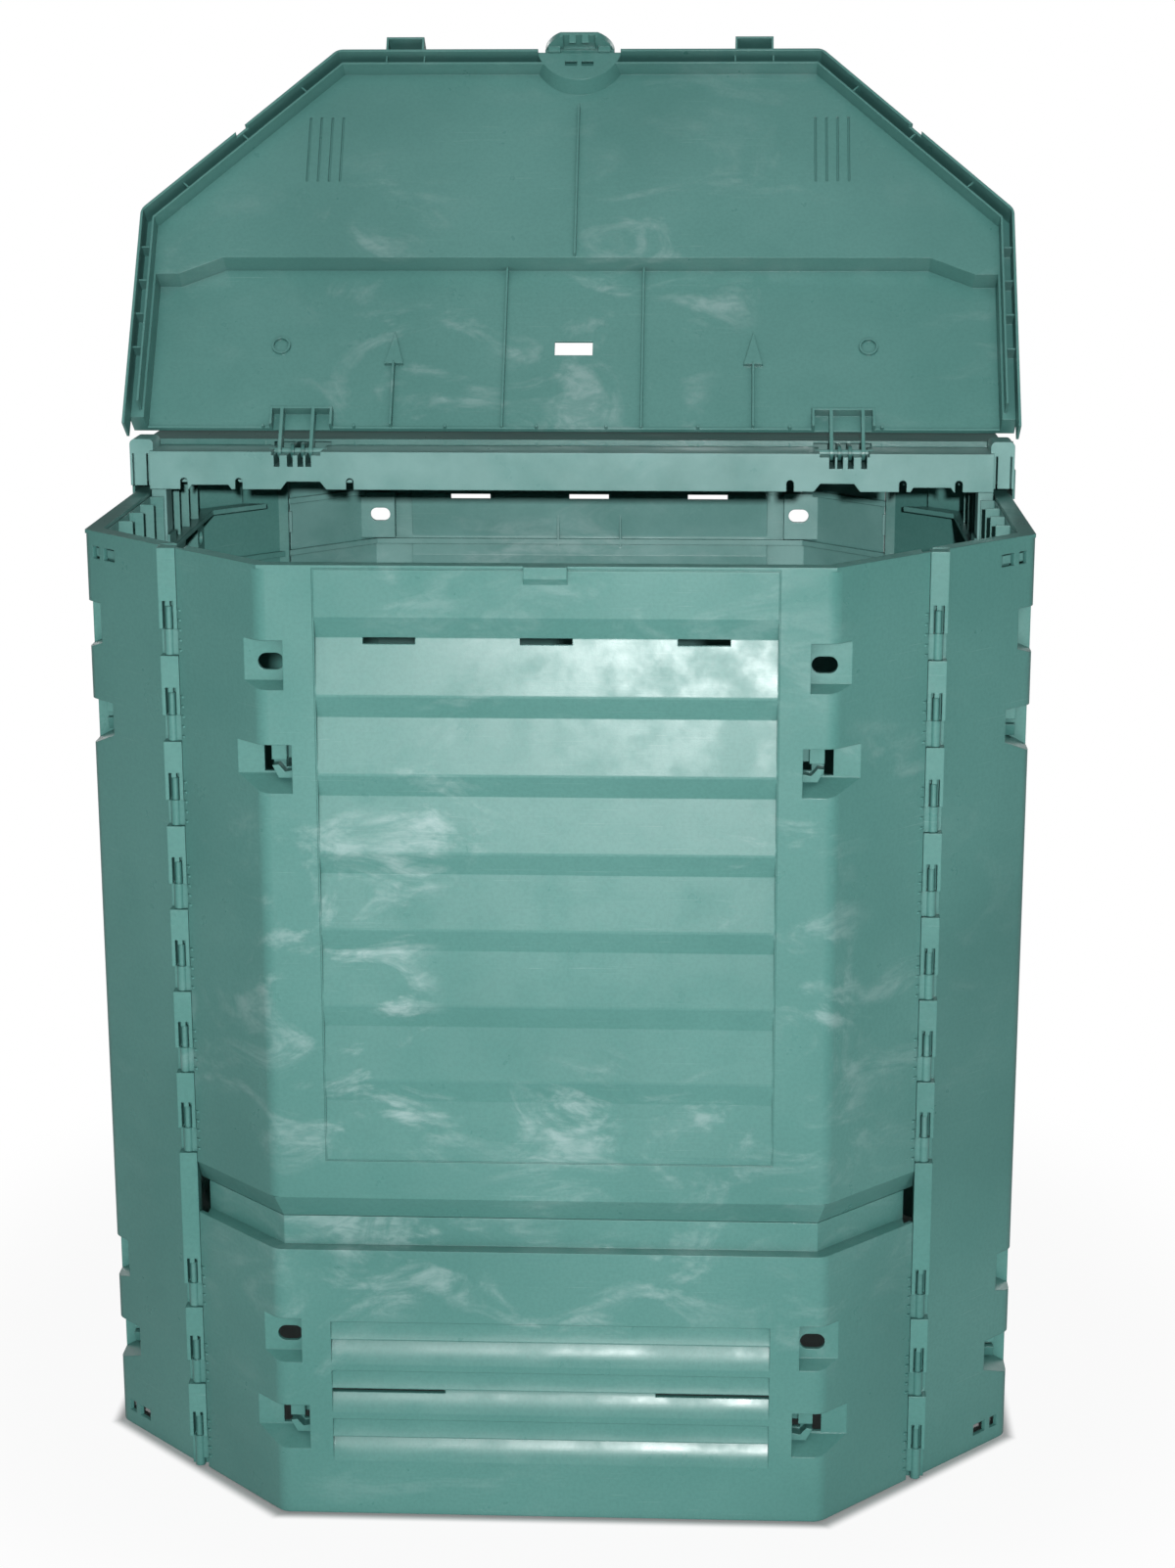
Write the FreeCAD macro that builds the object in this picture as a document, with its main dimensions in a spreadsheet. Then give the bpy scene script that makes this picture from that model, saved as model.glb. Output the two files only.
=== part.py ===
"""Eight-sided garden compost bin with a lid in two halves, hinged to a beam across the middle.

Frame: millimetres, +Z up, origin on the ground under the bin's centre, -Y to the front, +X right.
Each piece is drawn once, in its own position at the front, and placed by turning it about Z:
the rear panel by 180 degrees, the side panels by 90 either way.
"""
import FreeCAD, Part
import math
import os
import re
import Sketcher

Vector = FreeCAD.Vector

# Driving sizes: name, value in millimetres (or degrees, or a count), what it is.
SIZES = [
    ("width", 1000, "across the flats, both ways"),
    ("corner", 215, "leg of the slanted corners in plan"),
    ("height", 1025, "ground to rim"),
    ("wall", 5, "panel wall"),
    ("past", 1, "how far a cut starts outside the face it opens"),
    ("through", 15, "how far a cut goes to pass through a panel"),
    ("fold_radius", 20, "outer radius where a panel folds"),
    ("flange", 18, "rim flange, inward from the outer face"),
    ("flange_thick", 4, "rim flange thickness"),
    ("column", 19, "side of the square seam column"),
    ("seam_gap", 0.5, "panel edge to seam column"),
    ("pin_forward", 2.5, "seam pin axis, outward from the column's centre"),
    ("knuckle", 11, "knuckle diameter, and width of the slot it drops in"),
    ("stem", 7.5, "diameter of the stem on each knuckle"),
    ("knuckle_tall", 27, "knuckle height"),
    ("web_back", 2, "web between knuckle and panel, back from the knuckle's front"),
    ("web_thick", 4.5, "thickness of that web"),
    ("slot_tall", 31, "height of the slot that holds a stem"),
    ("slot_bar", 2, "bar over each slot"),
    ("back_wall", 5.5, "column wall behind the slots"),
    ("stem_short", 8, "stem top under the top of its slot unit"),
    ("nub", 5, "size of the nub over each stem"),
    ("unit_pitch", 90.5, "knuckle to knuckle"),
    ("upper_drop", 53, "first knuckle unit of the upper panel, below the rim"),
    ("upper_units", 7, "knuckles up each seam of the upper panel"),
    ("lower_drop", 775, "first knuckle unit of the hatch, below the rim"),
    ("lower_units", 3, "knuckles up each seam of the hatch"),
    ("play", 0.5, "clearance round knuckles, tongues and feet"),
    ("field_half", 229, "half width of the boarded field"),
    ("field_top", 3, "field's top edge below the rim"),
    ("field_tall", 620, "field height"),
    ("scribe", 1.5, "width of the line round the field"),
    ("scribe_deep", 0.8, "depth of that line"),
    ("board_drop", 52, "lower edge of the first board below the rim"),
    ("board_pitch", 80.6, "board to board"),
    ("board_flat", 2.5, "flat strip over each board's lower edge"),
    ("board_step", 22, "height of a board's sloping under face"),
    ("board_deep", 10, "depth of the first step"),
    ("board_fade", 1.1, "how much less deep each next step is"),
    ("board_count", 7, "boards"),
    ("vent_drop", 77, "vent slots below the rim"),
    ("vent_pitch", 156, "vent to vent"),
    ("vent_wide", 52, "vent width"),
    ("vent_tall", 6.5, "vent height"),
    ("gate_drop", 354, "gate mark below the rim"),
    ("gate_radius", 6, "gate mark radius"),
    ("gate_deep", 0.6, "gate mark depth"),
    ("catch_half", 21.5, "half width of the catch under the rim"),
    ("catch_proud", 6, "catch, out from the face"),
    ("catch_flat", 12, "height of the catch's face"),
    ("catch_tall", 18.5, "height of the catch"),
    ("eye_inner", 261, "inner wall of the eye recess from the middle"),
    ("eye_deep", 17, "depth of the eye recess"),
    ("eye_tall", 50, "height of the eye recess"),
    ("recess_run", 70, "length of the recess cuts, past the slanted corner"),
    ("eye_upper", 76, "upper eye recess below the rim"),
    ("eye_lower", 800, "lower eye recess below the rim"),
    ("eye_plate", 43, "height of its upright floor, above the sloping foot"),
    ("hole_in", 1, "eye hole from the recess's inner wall"),
    ("hole_wide", 26, "eye hole width"),
    ("hole_tall", 17, "eye hole height"),
    ("hole_drop", 24, "middle of the eye hole below the recess's top"),
    ("hook_inner", 254.5, "inner wall of the hook recess from the middle"),
    ("hook_deep", 28, "depth of the hook recess"),
    ("hook_tall", 50, "height of the hook recess"),
    ("hook_plate", 35, "height of its upright floor, above the sloping foot"),
    ("hook_upper", 182, "upper hook recess below the rim"),
    ("hook_lower", 899, "lower hook recess below the rim"),
    ("hook_slot", 9.5, "width of the slot beside the hook"),
    ("hook_slot_from", 276.5, "slot's inner edge from the middle"),
    ("hook_slot_tall", 33, "height of that slot"),
    ("keyhole_drop", 19, "small hole beside the hook, below the recess's top"),
    ("block_wide", 15, "width of the hook's upper block"),
    ("block_tall", 18, "height of the hook's upper block"),
    ("claw_drop", 24, "hook's claw below the recess's top"),
    ("claw_tall", 13, "height of the claw"),
    ("claw_crest", 1, "claw's crest above its tip"),
    ("claw_out", 14, "how far block and claw stand out"),
    ("rib_drop", 67, "upper rib below the rim"),
    ("rib_second", 134, "second rib below the rim"),
    ("rib_tall", 7, "height of the inner ribs"),
    ("rib_deep", 5, "inner ribs, in from the wall"),
    ("rib_side", 41, "upright inner ribs from the middle"),
    ("rib_thick", 2.5, "thickness of thin ribs"),
    ("lip_drop", 664, "top of the sloping lip below the rim"),
    ("lip_tall", 26, "height of the sloping lip"),
    ("lip_in", 16, "how far the lip slopes in"),
    ("lip_gap", 0.6, "lip to the hatch's upstand"),
    ("ledge_drop", 722, "hatch ledge below the rim"),
    ("upstand_back", 10, "upstand's end short of the panel edge"),
    ("hatch_lift", 2, "hatch above the ground"),
    ("edge_swing", 12.3, "radius cut in the hatch edge for its swing"),
    ("louvre_half", 230, "half width of the louvred field"),
    ("louvre_first", 200, "first groove above the ground"),
    ("louvre_pitch", 55.5, "groove to groove"),
    ("louvre_count", 3, "grooves"),
    ("louvre_deep", 8, "depth of a groove"),
    ("louvre_face", 26, "height of the rounded face under a groove"),
    ("louvre_round", 60, "radius of that face"),
    ("louvre_slot", 4, "height of a groove"),
    ("louvre_open", 5, "lower edge of the open slots below the groove's middle"),
    ("louvre_closed", 111, "middle part without an open slot, half width"),
    ("cove_tall", 20, "height of the hollow face over a groove"),
    ("cove_deep", 3, "its depth at the top"),
    ("cove_round", 50, "its radius"),
    ("clip_near", 14, "first clip hole from the fold"),
    ("clip_wide", 12, "its width"),
    ("clip_far", 34, "second clip hole from the fold"),
    ("clip_broad", 20, "its width"),
    ("clip_drop", 16, "clip holes below the rim"),
    ("clip_tall", 13, "their height"),
    ("clip_low", 16, "bottom clip holes above the ground"),
    ("frame_gap", 11, "rim frame to the side panel's inner face, behind its boards"),
    ("frame_wall", 2.5, "rim frame's back and ribs"),
    ("frame_end", 327, "rim frame's end from the middle"),
    ("rail_in", 40, "rail, in from the outer face"),
    ("rail_drop", 64, "rail top below the rim"),
    ("rail_thick", 6, "rail thickness"),
    ("stay_pitch", 60, "rib to rib along the rim frame"),
    ("stay_count", 4, "ribs each side of the beam pocket"),
    ("stay_in", 34, "ribs, in from the outer face"),
    ("tongue_play", 2, "tongues in the clip holes, to the sides of the holes"),
    ("tongue_short", 3, "tongues in the clip holes, short of the panel's face"),
    ("pocket_tall", 22, "height of the beam pocket's front"),
    ("pocket_half", 18, "inner half width of the beam pocket"),
    ("hinge_rise", 46, "hinge axis above the rim"),
    ("beam_half", 30, "half depth of the beam, front to back"),
    ("beam_low", 6, "beam's lower edge above the rim"),
    ("beam_top", 49, "beam's top above the rim"),
    ("beam_wall", 3.5, "beam wall"),
    ("beam_reach", 502.5, "beam's end from the middle"),
    ("post_from", 479, "inner side of the end post"),
    ("post_half", 22, "half depth of the end post"),
    ("post_top", 62, "end post's top above the rim"),
    ("post_low", 9, "end post's lower edge above the rim"),
    ("post_round", 6, "radius of the post's top corners"),
    ("tongue_half", 7, "half width of the snap tongue"),
    ("slit", 2, "slits beside the snap tongue"),
    ("foot_play", 1.5, "beam's foot to the sides of its pocket"),
    ("foot_from", 463.2, "inner side of the beam's foot"),
    ("foot_to", 480, "outer side of the beam's foot"),
    ("arch_wide", 8.5, "width of the arched notches"),
    ("arch_top", 19, "their top above the rim"),
    ("arch_outer", 440, "outer arched notch from the middle"),
    ("arch_middle", 377, "middle arched notch"),
    ("arch_inner", 250, "inner arched notch"),
    ("cutout_from", 389, "shallow cut-out in the beam's lower edge"),
    ("cutout_to", 431, "its outer end"),
    ("cutout_top", 11, "its top above the rim"),
    ("cutout_flare", 4, "run of its sloping sides"),
    ("undercut_from", 284, "cut-out under the hinge well"),
    ("undercut_to", 322, "its outer end"),
    ("undercut_top", 15, "its top above the rim"),
    ("undercut_flare", 8, "run of its sloping sides"),
    ("well_from", 278, "hinge well's inner end"),
    ("well_to", 344, "hinge well's outer end"),
    ("well_deep", 14, "hinge well's floor below the axis"),
    ("well_cheek", 5, "cheek that holds a hinge pin"),
    ("pin_shown", 1, "window over a hinge pin, down below the axis"),
    ("fin_play", 1.2, "slot beside a lid's fin"),
    ("pin_radius", 4, "hinge pin radius"),
    ("pin_middle", 312, "hinge pin's middle"),
    ("pin_half", 34, "half length of a hinge pin"),
    ("pin_fit", 0.05, "running fit of the fins on the pin"),
    ("hub", 8.5, "radius of a fin round the pin"),
    ("fin", 4, "fin thickness"),
    ("outer_fin_out", 333, "front lid's outer fin from the middle"),
    ("outer_fin_in", 297, "front lid's inner fin"),
    ("inner_fin_out", 318, "rear lid's outer fin"),
    ("inner_fin_in", 306, "rear lid's inner fin"),
    ("lid_open", 124.7, "front lid, opened from closed, in degrees"),
    ("overhang", 7, "lid's skirt outside the panels"),
    ("skirt_low", 53, "skirt's lower edge below the hinge axis"),
    ("skirt_from", 8, "skirt's rear end from the axis"),
    ("lid_wall", 3, "lid wall"),
    ("niche_deep", 20, "niche round the hinge fins in the rear wall"),
    ("lid_from", 31, "roof's rear edge from the axis"),
    ("roof_low", 30, "inner face of the low roof above the skirt's edge"),
    ("roof_high", 60, "inner face of the high roof above it"),
    ("step_at", 241, "step of the roof from the axis"),
    ("step_half", 412, "half width of the step's straight part"),
    ("tray_half", 489, "half width of the high roof"),
    ("tray_bend", 219, "the high roof's far edge beside the step, from the axis"),
    ("tray_level", 463, "inner end of that edge from the middle"),
    ("ridge_in", 14, "inner ridge from the skirt's outside"),
    ("ridge_wall", 2.5, "ridge thickness"),
    ("ridge_gap", 0.5, "ridge above the rim"),
    ("ridge_from", 40, "ridge's rear end from the axis"),
    ("lid_corner", 16, "radius of the lid's plan corners"),
    ("tie_pitch", 44, "tie to tie along the skirt"),
    ("tie_first", 111, "first tie from the axis"),
    ("tie_count", 4, "ties along each side"),
    ("tie_thick", 2, "tie thickness"),
    ("tie_short", 3, "ties stop this far above the rim"),
    ("tab_from", 185, "grip tab's inner end"),
    ("tab_to", 230, "its outer end"),
    ("tab_out", 524, "its face from the axis"),
    ("tab_wall", 2.5, "its wall"),
    ("inside_rib", 8, "height of the roof's inner ribs"),
    ("mid_rib_to", 446, "far end of the middle rib"),
    ("tray_rib", 80, "ribs of the high roof from the middle"),
    ("gusset_at", 208, "arrow-shaped gussets from the middle"),
    ("gusset_from", 115, "gusset head's near end"),
    ("gusset_to", 157, "gusset head's far end"),
    ("gusset_half", 11, "gusset head's half width"),
    ("gusset_tall", 12, "gusset height"),
    ("boss_at", 341, "round bosses from the middle"),
    ("boss_away", 140, "round bosses from the axis"),
    ("boss_radius", 11, "boss radius"),
    ("boss_tall", 4, "boss height"),
    ("hand_half", 22, "half length of the slot in the roof"),
    ("hand_from", 129, "slot's near edge"),
    ("hand_to", 147, "slot's far edge"),
    ("slat_first", 280, "first ventilation groove from the middle"),
    ("slat_pitch", 13, "groove to groove"),
    ("slat_wide", 2.5, "groove width"),
    ("slat_from", 344, "grooves' near end"),
    ("slat_long", 88, "groove length"),
    ("slat_count", 4, "grooves each side"),
    ("slat_deep", 1.8, "groove depth in the roof's inner face"),
    ("peg_drop", 6, "pegs under the rear wall"),
    ("peg_radius", 1.8, "peg radius"),
    ("peg_pitch", 105, "peg to peg"),
    ("peg_count", 4, "pegs each side"),
    ("wall_tall", 4, "rear wall below the high roof"),
    ("fin_low", 8, "lower edge of the hinge fins' arms below the axis"),
    ("cup_mouth", 54, "cup's half width at the roof"),
    ("cup_mouth_round", 55, "radius of its wall there"),
    ("cup_floor", 50, "cup's half width at its floor"),
    ("cup_floor_round", 52, "radius of its wall there"),
    ("gap_half", 49, "half width of the gap in the skirt"),
    ("eyelet_from", 2.7, "holes in the cup's floor from the middle"),
    ("eyelet_wide", 14, "their width"),
    ("eyelet_at", 489, "their near edge from the axis"),
    ("eyelet_long", 6, "their length"),
    ("grip_half", 41, "half width of the latch grip"),
    ("grip_out", 520, "grip's face from the axis"),
    ("jaw", 3.5, "thickness of the latch's jaws"),
    ("jaw_gap", 0.3, "latch to the lid"),
    ("grip_top", 27, "grip's top below the axis"),
    ("grip_low", 68, "grip's lower edge below the axis"),
    ("grip_side", 30, "lower end of its straight sides below the axis"),
    ("grip_flat", 22, "half width of its straight lower edge"),
    ("grip_round", 42, "radius of the grip's lower corners"),
    ("pad_short", 4, "pads under the lid's floor, short of the grip's side"),
    ("hood_tall", 9, "height of the hood over the floor's holes"),
    ("hood_reach", 1.5, "its hollow past the holes"),
    ("hood_wall", 2, "its wall"),
    ("recess_half", 19, "half width of the recess inside the grip"),
    ("recess_top", 44, "its top below the axis"),
    ("recess_deep", 3, "its depth"),
    ("hook", 3, "height of the snap hooks"),
    ("finger_from", 3.5, "snap hooks from the middle"),
    ("finger_wide", 8, "their width"),
    ("latch_travel", 6, "how far the latch slides"),
]

# Places worked out from the sizes.
HALF = "(width / 2)"
FOLD = "(width / 2 - corner)"
SEAM = "(width / 2 - corner / 2)"
SLANT = "(width - corner)"
PIN_AT = "(%s + pin_forward)" % SEAM
EDGE = "(%s - column / 2 - seam_gap)" % SEAM
TURN = "(sqrt(2) - 1)"
ROOT = "sqrt(2)"

# Where the ties of the lid's slanted corners stand, as shares of the corner's length.
TIE_SHARES = (0.2, 0.5, 0.8)
# Places of the hinge fins from the middle.
FRONT_FINS = ["outer_fin_out", "outer_fin_in"]
REAR_FINS = ["inner_fin_out", "inner_fin_in"]


doc = FreeCAD.newDocument("CompostBin")
sheet = doc.addObject("Spreadsheet::Sheet", "sizes")
for line, (alias, value, note) in enumerate(SIZES, start=1):
    sheet.set("A%d" % line, alias)
    sheet.set("B%d" % line, str(value))
    sheet.set("C%d" % line, note)
    sheet.setAlias("B%d" % line, alias)
doc.recompute()


def sized(formula):
    """Gives the formula with each size named as its cell in the sheet."""
    return re.sub(r"[a-z][a-z_]*\b(?!\()", lambda word: "sizes." + word.group(), str(formula))


def number(formula):
    """Gives the formula's value now."""
    return float(sheet.evalExpression(sized(formula)))


def origin_plane(body, name):
    """Finds one of the body's own origin planes: XY, XZ or YZ."""
    return next(part for part in body.Origin.OriginFeatures if part.Role == name + "_Plane")


def new_body(label, turn=0):
    """Starts a piece, turned about Z by whole degrees."""
    body = doc.addObject("PartDesign::Body", label)
    body.Label = label
    body.Placement = FreeCAD.Placement(Vector(), FreeCAD.Rotation(Vector(0, 0, 1), turn))
    return body


def make_twin(label, original, turn):
    """The same moulding again, turned about Z by whole degrees."""
    body = new_body(label, turn)
    copy = body.newObject("PartDesign::FeatureBase", label + "_base")
    copy.BaseFeature = original
    return body


def new_sketch(body, name, plane, level):
    """Starts a sketch on an origin plane, moved along the plane's normal to the level."""
    sketch = body.newObject("Sketcher::SketchObject", name)
    sketch.AttachmentSupport = [(origin_plane(body, plane), "")]
    sketch.MapMode = "FlatFace"
    sketch.setExpression(".AttachmentOffset.Base.z", sized(level))
    return sketch


def draw(sketch, outlines):
    """Draws closed outlines and holds them by the sizes. A point is (x, y), or (x, y, radius) where
    an arc follows it, bulging to the right of the way the outline goes. One point alone is a circle."""
    shapes = []
    rules = []
    for points in outlines:
        if len(points) == 1:
            new_shapes, new_rules = circle_of(points[0], len(shapes))
        else:
            new_shapes, new_rules = loop_of(points, len(shapes))
        shapes += new_shapes
        rules += new_rules
    sketch.addGeometry(shapes, False)
    sketch.addConstraint([rule for rule, formula in rules])
    for index, (rule, formula) in enumerate(rules):
        if formula:
            sketch.setExpression("Constraints[%d]" % index, sized(formula))


def circle_of(circle, edge):
    """Circle from (x, y, radius) as sketch edge number edge, with the constraints that hold it."""
    shape = Part.Circle(Vector(number(circle[0]), number(circle[1]), 0), Vector(0, 0, 1), number(circle[2]))
    radius = (Sketcher.Constraint("Radius", edge, number(circle[2])), circle[2])
    return [shape], held(edge, 3, circle[:2]) + [radius]


def loop_of(points, first):
    """Closed outline as sketch edges from number first on, with the constraints that hold it."""
    places = [Vector(number(point[0]), number(point[1]), 0) for point in points]
    shapes = []
    rules = []
    for index, point in enumerate(points):
        edge = first + index
        start = places[index]
        stop = places[(index + 1) % len(points)]
        following = first + (index + 1) % len(points)
        rules.append((Sketcher.Constraint("Coincident", edge, 2, following, 1), None))
        rules += held(edge, 1, point[:2])
        if len(point) == 3:
            shapes.append(arc_between(start, stop, number(point[2])))
            rules.append(arc_rule(edge, point[2], stop - start))
        else:
            shapes.append(Part.LineSegment(start, stop))
    return shapes, rules


def arc_between(start, stop, radius):
    """Arc from start to stop that bulges to the right."""
    chord = stop - start
    right = Vector(chord.y, -chord.x, 0).normalize()
    rise = radius - math.sqrt(max(radius ** 2 - chord.Length ** 2 / 4, 0))
    return Part.Arc(start, start + chord * 0.5 + right * rise, stop)


def arc_rule(edge, radius, chord):
    """Constraint for an arc's radius, or for a half circle its middle level with its end."""
    if abs(chord.Length - 2 * number(radius)) < 1e-6:
        level = "Vertical" if abs(chord.y) > abs(chord.x) else "Horizontal"
        return (Sketcher.Constraint(level, edge, 3, edge, 1), None)
    return (Sketcher.Constraint("Radius", edge, number(radius)), radius)


def held(edge, end, point):
    """Constraints that hold one end (or the centre) of an edge at a place given by two formulas."""
    return [(Sketcher.Constraint(kind, -1, 1, edge, end, number(formula)), formula)
            for kind, formula in zip(("DistanceX", "DistanceY"), point)]


def flipped(points):
    """The same outline on the other side of the middle plane, drawn the same way round."""
    other = []
    for index in reversed(range(len(points))):
        arc = points[index - 1][2:]
        other.append(("-(%s)" % points[index][0], points[index][1]) + tuple(arc))
    return other


def both_sides(*outlines):
    """Outlines with their mirror images."""
    return list(outlines) + [flipped(points) for points in outlines]


def box_loop(low_x, high_x, low_y, high_y):
    """An upright rectangle between formulas."""
    return [(low_x, low_y), (high_x, low_y), (high_x, high_y), (low_x, high_y)]


def prism(body, name, plane, loops, start, length, cut=False):
    """Adds or cuts a prism whose outlines lie on the plane: from start, length long, along X, Y or Z."""
    level = "-(%s) - (%s)" % (start, length) if plane == "XZ" else start
    sketch = new_sketch(body, name + "_outline", plane, level)
    draw(sketch, loops)
    feature = body.newObject("PartDesign::Pocket" if cut else "PartDesign::Pad", name)
    feature.Profile = sketch
    feature.Reversed = cut
    feature.Refine = False
    feature.setExpression("Length", sized(length))
    return feature


def loft(body, name, low, high, levels, cut=False):
    """Adds or cuts a ruled loft between two outlines at two levels."""
    sections = []
    for end, points, level in (("bottom", low, levels[0]), ("top", high, levels[1])):
        sketch = new_sketch(body, "%s_%s" % (name, end), "XY", level)
        draw(sketch, [points])
        sections.append(sketch)
    feature = body.newObject("PartDesign::SubtractiveLoft" if cut else "PartDesign::AdditiveLoft", name)
    feature.Profile = sections[0]
    feature.Sections = sections[1:]
    feature.Ruled = True
    feature.Refine = False
    return feature


def revolve(body, name, plane, level, axis_at, loops):
    """Adds a full turn of the outlines about the sketch's own upright (XZ) or level (XY) axis."""
    sketch = new_sketch(body, name + "_outline", plane, level)
    sketch.setExpression(".AttachmentOffset.Base.x", sized(axis_at))
    draw(sketch, loops)
    feature = body.newObject("PartDesign::Revolution", name)
    feature.Profile = sketch
    feature.ReferenceAxis = (sketch, ["V_Axis" if plane == "XZ" else "H_Axis"])
    feature.Angle = 360
    feature.Refine = False
    return feature


def round_edges(body, name, radius, wanted):
    """Fillets the edges of the piece so far whose middle point the test accepts."""
    doc.recompute()
    base = body.Tip
    names = []
    for index, edge in enumerate(base.Shape.Edges, start=1):
        middle = edge.valueAt((edge.FirstParameter + edge.LastParameter) / 2)
        if wanted(edge, middle):
            names.append("Edge%d" % index)
    fillet = body.newObject("PartDesign::Fillet", name)
    fillet.Base = (base, names)
    fillet.setExpression("Radius", sized(radius))
    return fillet


def is_upright(edge):
    """True for a straight edge along Z."""
    ends = edge.Vertexes[0].Point - edge.Vertexes[-1].Point
    return abs(ends.x) + abs(ends.y) < 0.01 and abs(ends.z) > 1


def bent_strip(outside, inside, end):
    """Plan of a wall that follows three sides of the octagon, between two offsets inward from it,
    out to the same distance from the middle on both sides."""
    points = []
    for offset, side in ((outside, -1), (inside, 1)):
        fold = "(%s - (%s) * %s)" % (FOLD, offset, TURN)
        face = "(%s - %s)" % (offset, HALF)
        tip = "(%s + %s * (%s) - %s)" % (end, ROOT, offset, SLANT)
        walk = [("-(%s)" % end, tip), ("-" + fold, face), (fold, face), (end, tip)]
        points += walk if side < 0 else walk[::-1]
    return points


def on_wing(along, outward):
    """Place on the slanted wing: distance from the fold, and distance out from the wing's face."""
    x = "(%s + ((%s) + (%s)) / %s)" % (FOLD, along, outward, ROOT)
    y = "(((%s) - (%s)) / %s - %s)" % (along, outward, ROOT, HALF)
    return (x, y)


def wing_box(near, wide, low, high):
    """Plan of a box across the wing, between two distances along it and two out from its face."""
    far = "(%s) + (%s)" % (near, wide)
    return [on_wing(near, high), on_wing(near, low), on_wing(far, low), on_wing(far, high)]


def fold_corners(body, name):
    """Rounds the two outer edges where the panel folds."""
    face = -number(HALF)
    fold = number(FOLD)
    return round_edges(body, name, "fold_radius", lambda edge, middle: is_upright(edge)
                       and abs(middle.y - face) < 0.01 and abs(abs(middle.x) - fold) < 0.01)


def add_backing(body, name, inner, deep, top, tall):
    """Boxes out the inside of the fold behind a recess, a wall thicker than the recess all round."""
    skin = "(wall / 2 - %s)" % HALF
    floor = "(%s + wall - %s)" % (deep, HALF)
    plan = [("%s - wall" % inner, skin), (FOLD, skin),
            ("%s - wall / %s + %s" % (SLANT, ROOT, floor), floor),
            ("%s - wall" % inner, floor)]
    prism(body, name + "_backing", "XY", both_sides(plan), "%s - %s - wall" % (top, tall),
          "%s + 2 * wall" % tall)


def add_mouths(body, name, inner, deep, top, tall, plate):
    """Cuts a recess at each fold: an upright floor, level above, with a foot that slopes out."""
    far = "(%s + recess_run)" % inner
    profile = [("-%s - column" % HALF, top), ("%s - %s" % (deep, HALF), top),
               ("%s - %s" % (deep, HALF), "%s - %s" % (top, plate)), ("-" + HALF, "%s - %s" % (top, tall)),
               ("-%s - column" % HALF, "%s - %s" % (top, tall))]
    for side, start in (("right", inner), ("left", "-" + far)):
        prism(body, "%s_recess_%s" % (name, side), "YZ", [profile], start, "recess_run", cut=True)


def add_eye(body, name, drop):
    """Recess at each fold with a slotted hole through its floor, its top edge drop below the rim."""
    top = "(height - %s)" % drop
    add_backing(body, name, "eye_inner", "eye_deep", top, "eye_tall")
    add_mouths(body, name, "eye_inner", "eye_deep", top, "eye_tall", "eye_plate")
    middle = "(%s - hole_drop)" % top
    half = "hole_tall / 2"
    left = "eye_inner + hole_in + %s" % half
    right = "eye_inner + hole_in + hole_wide - %s" % half
    hole = [(left, "%s - %s" % (middle, half)), (right, "%s - %s" % (middle, half), half),
            (right, "%s + %s" % (middle, half)), (left, "%s + %s" % (middle, half), half)]
    prism(body, name + "_hole", "XZ", both_sides(hole), "eye_deep - wall - %s" % HALF, "through",
          cut=True)


def add_hook(body, name, drop):
    """Deeper recess at each fold with an upright slot and a two-part snap hook beside it."""
    floor = "(hook_deep - %s)" % HALF
    top = "(height - %s)" % drop
    add_backing(body, name, "hook_inner", "hook_deep", top, "hook_tall")
    add_mouths(body, name, "hook_inner", "hook_deep", top, "hook_tall", "hook_plate")
    slot = box_loop("hook_slot_from", "hook_slot_from + hook_slot", top + " - hook_slot_tall", top)
    keyhole = box_loop("hook_inner", "hook_inner + hook_slot", top + " - keyhole_drop - hook_slot",
                       top + " - keyhole_drop")
    prism(body, name + "_openings", "XZ", both_sides(slot, keyhole), floor + " - wall", "through",
          cut=True)
    block = box_loop("hook_slot_from - block_wide", "hook_slot_from", top + " - block_tall",
                     top + " + wall / 2")
    claw = [("hook_inner - wall / 2", top + " - claw_drop - claw_tall"),
            ("hook_slot_from - claw_tall / 2", top + " - claw_drop - claw_tall"),
            ("hook_slot_from", top + " - claw_drop"),
            ("hook_slot_from - claw_tall / 2", top + " - claw_drop + claw_crest"),
            ("hook_slot_from - claw_tall", top + " - claw_drop - claw_tall / 2"),
            ("hook_inner - wall / 2", top + " - claw_drop - claw_tall / 3")]
    prism(body, name + "_claw", "XZ", both_sides(block, claw), floor + " - claw_out",
          "claw_out + wall / 2")


def unit_tops(drop, count):
    """Upper end of each knuckle unit down a seam, as formulas."""
    return ["(height - %s - unit_pitch * %d)" % (drop, rank) for rank in range(int(number(count)))]


def add_knuckles(body, drop, count):
    """Row of knuckles up both edges of a panel, each with a stem that stands in a column's slot."""
    tops = unit_tops(drop, count)
    lows = ["(%s - slot_tall - play - knuckle_tall)" % top for top in tops]
    profiles = []
    for top, low in zip(tops, lows):
        profiles.append([("0", low), ("knuckle / 2", low), ("knuckle / 2", low + " + knuckle_tall"),
                         ("stem / 2", low + " + knuckle_tall"), ("stem / 2", top + " - stem_short"),
                         ("0", top + " - stem_short")])
    for side, place in (("right", SEAM), ("left", "-" + SEAM)):
        revolve(body, "knuckles_" + side, "XZ", PIN_AT, place, profiles)
    webs = [box_loop(EDGE + " - wall / 2", SEAM, low, low + " + knuckle_tall") for low in lows]
    prism(body, "webs", "XZ", both_sides(*webs), "web_back - %s - knuckle / 2" % PIN_AT, "web_thick")


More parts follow.
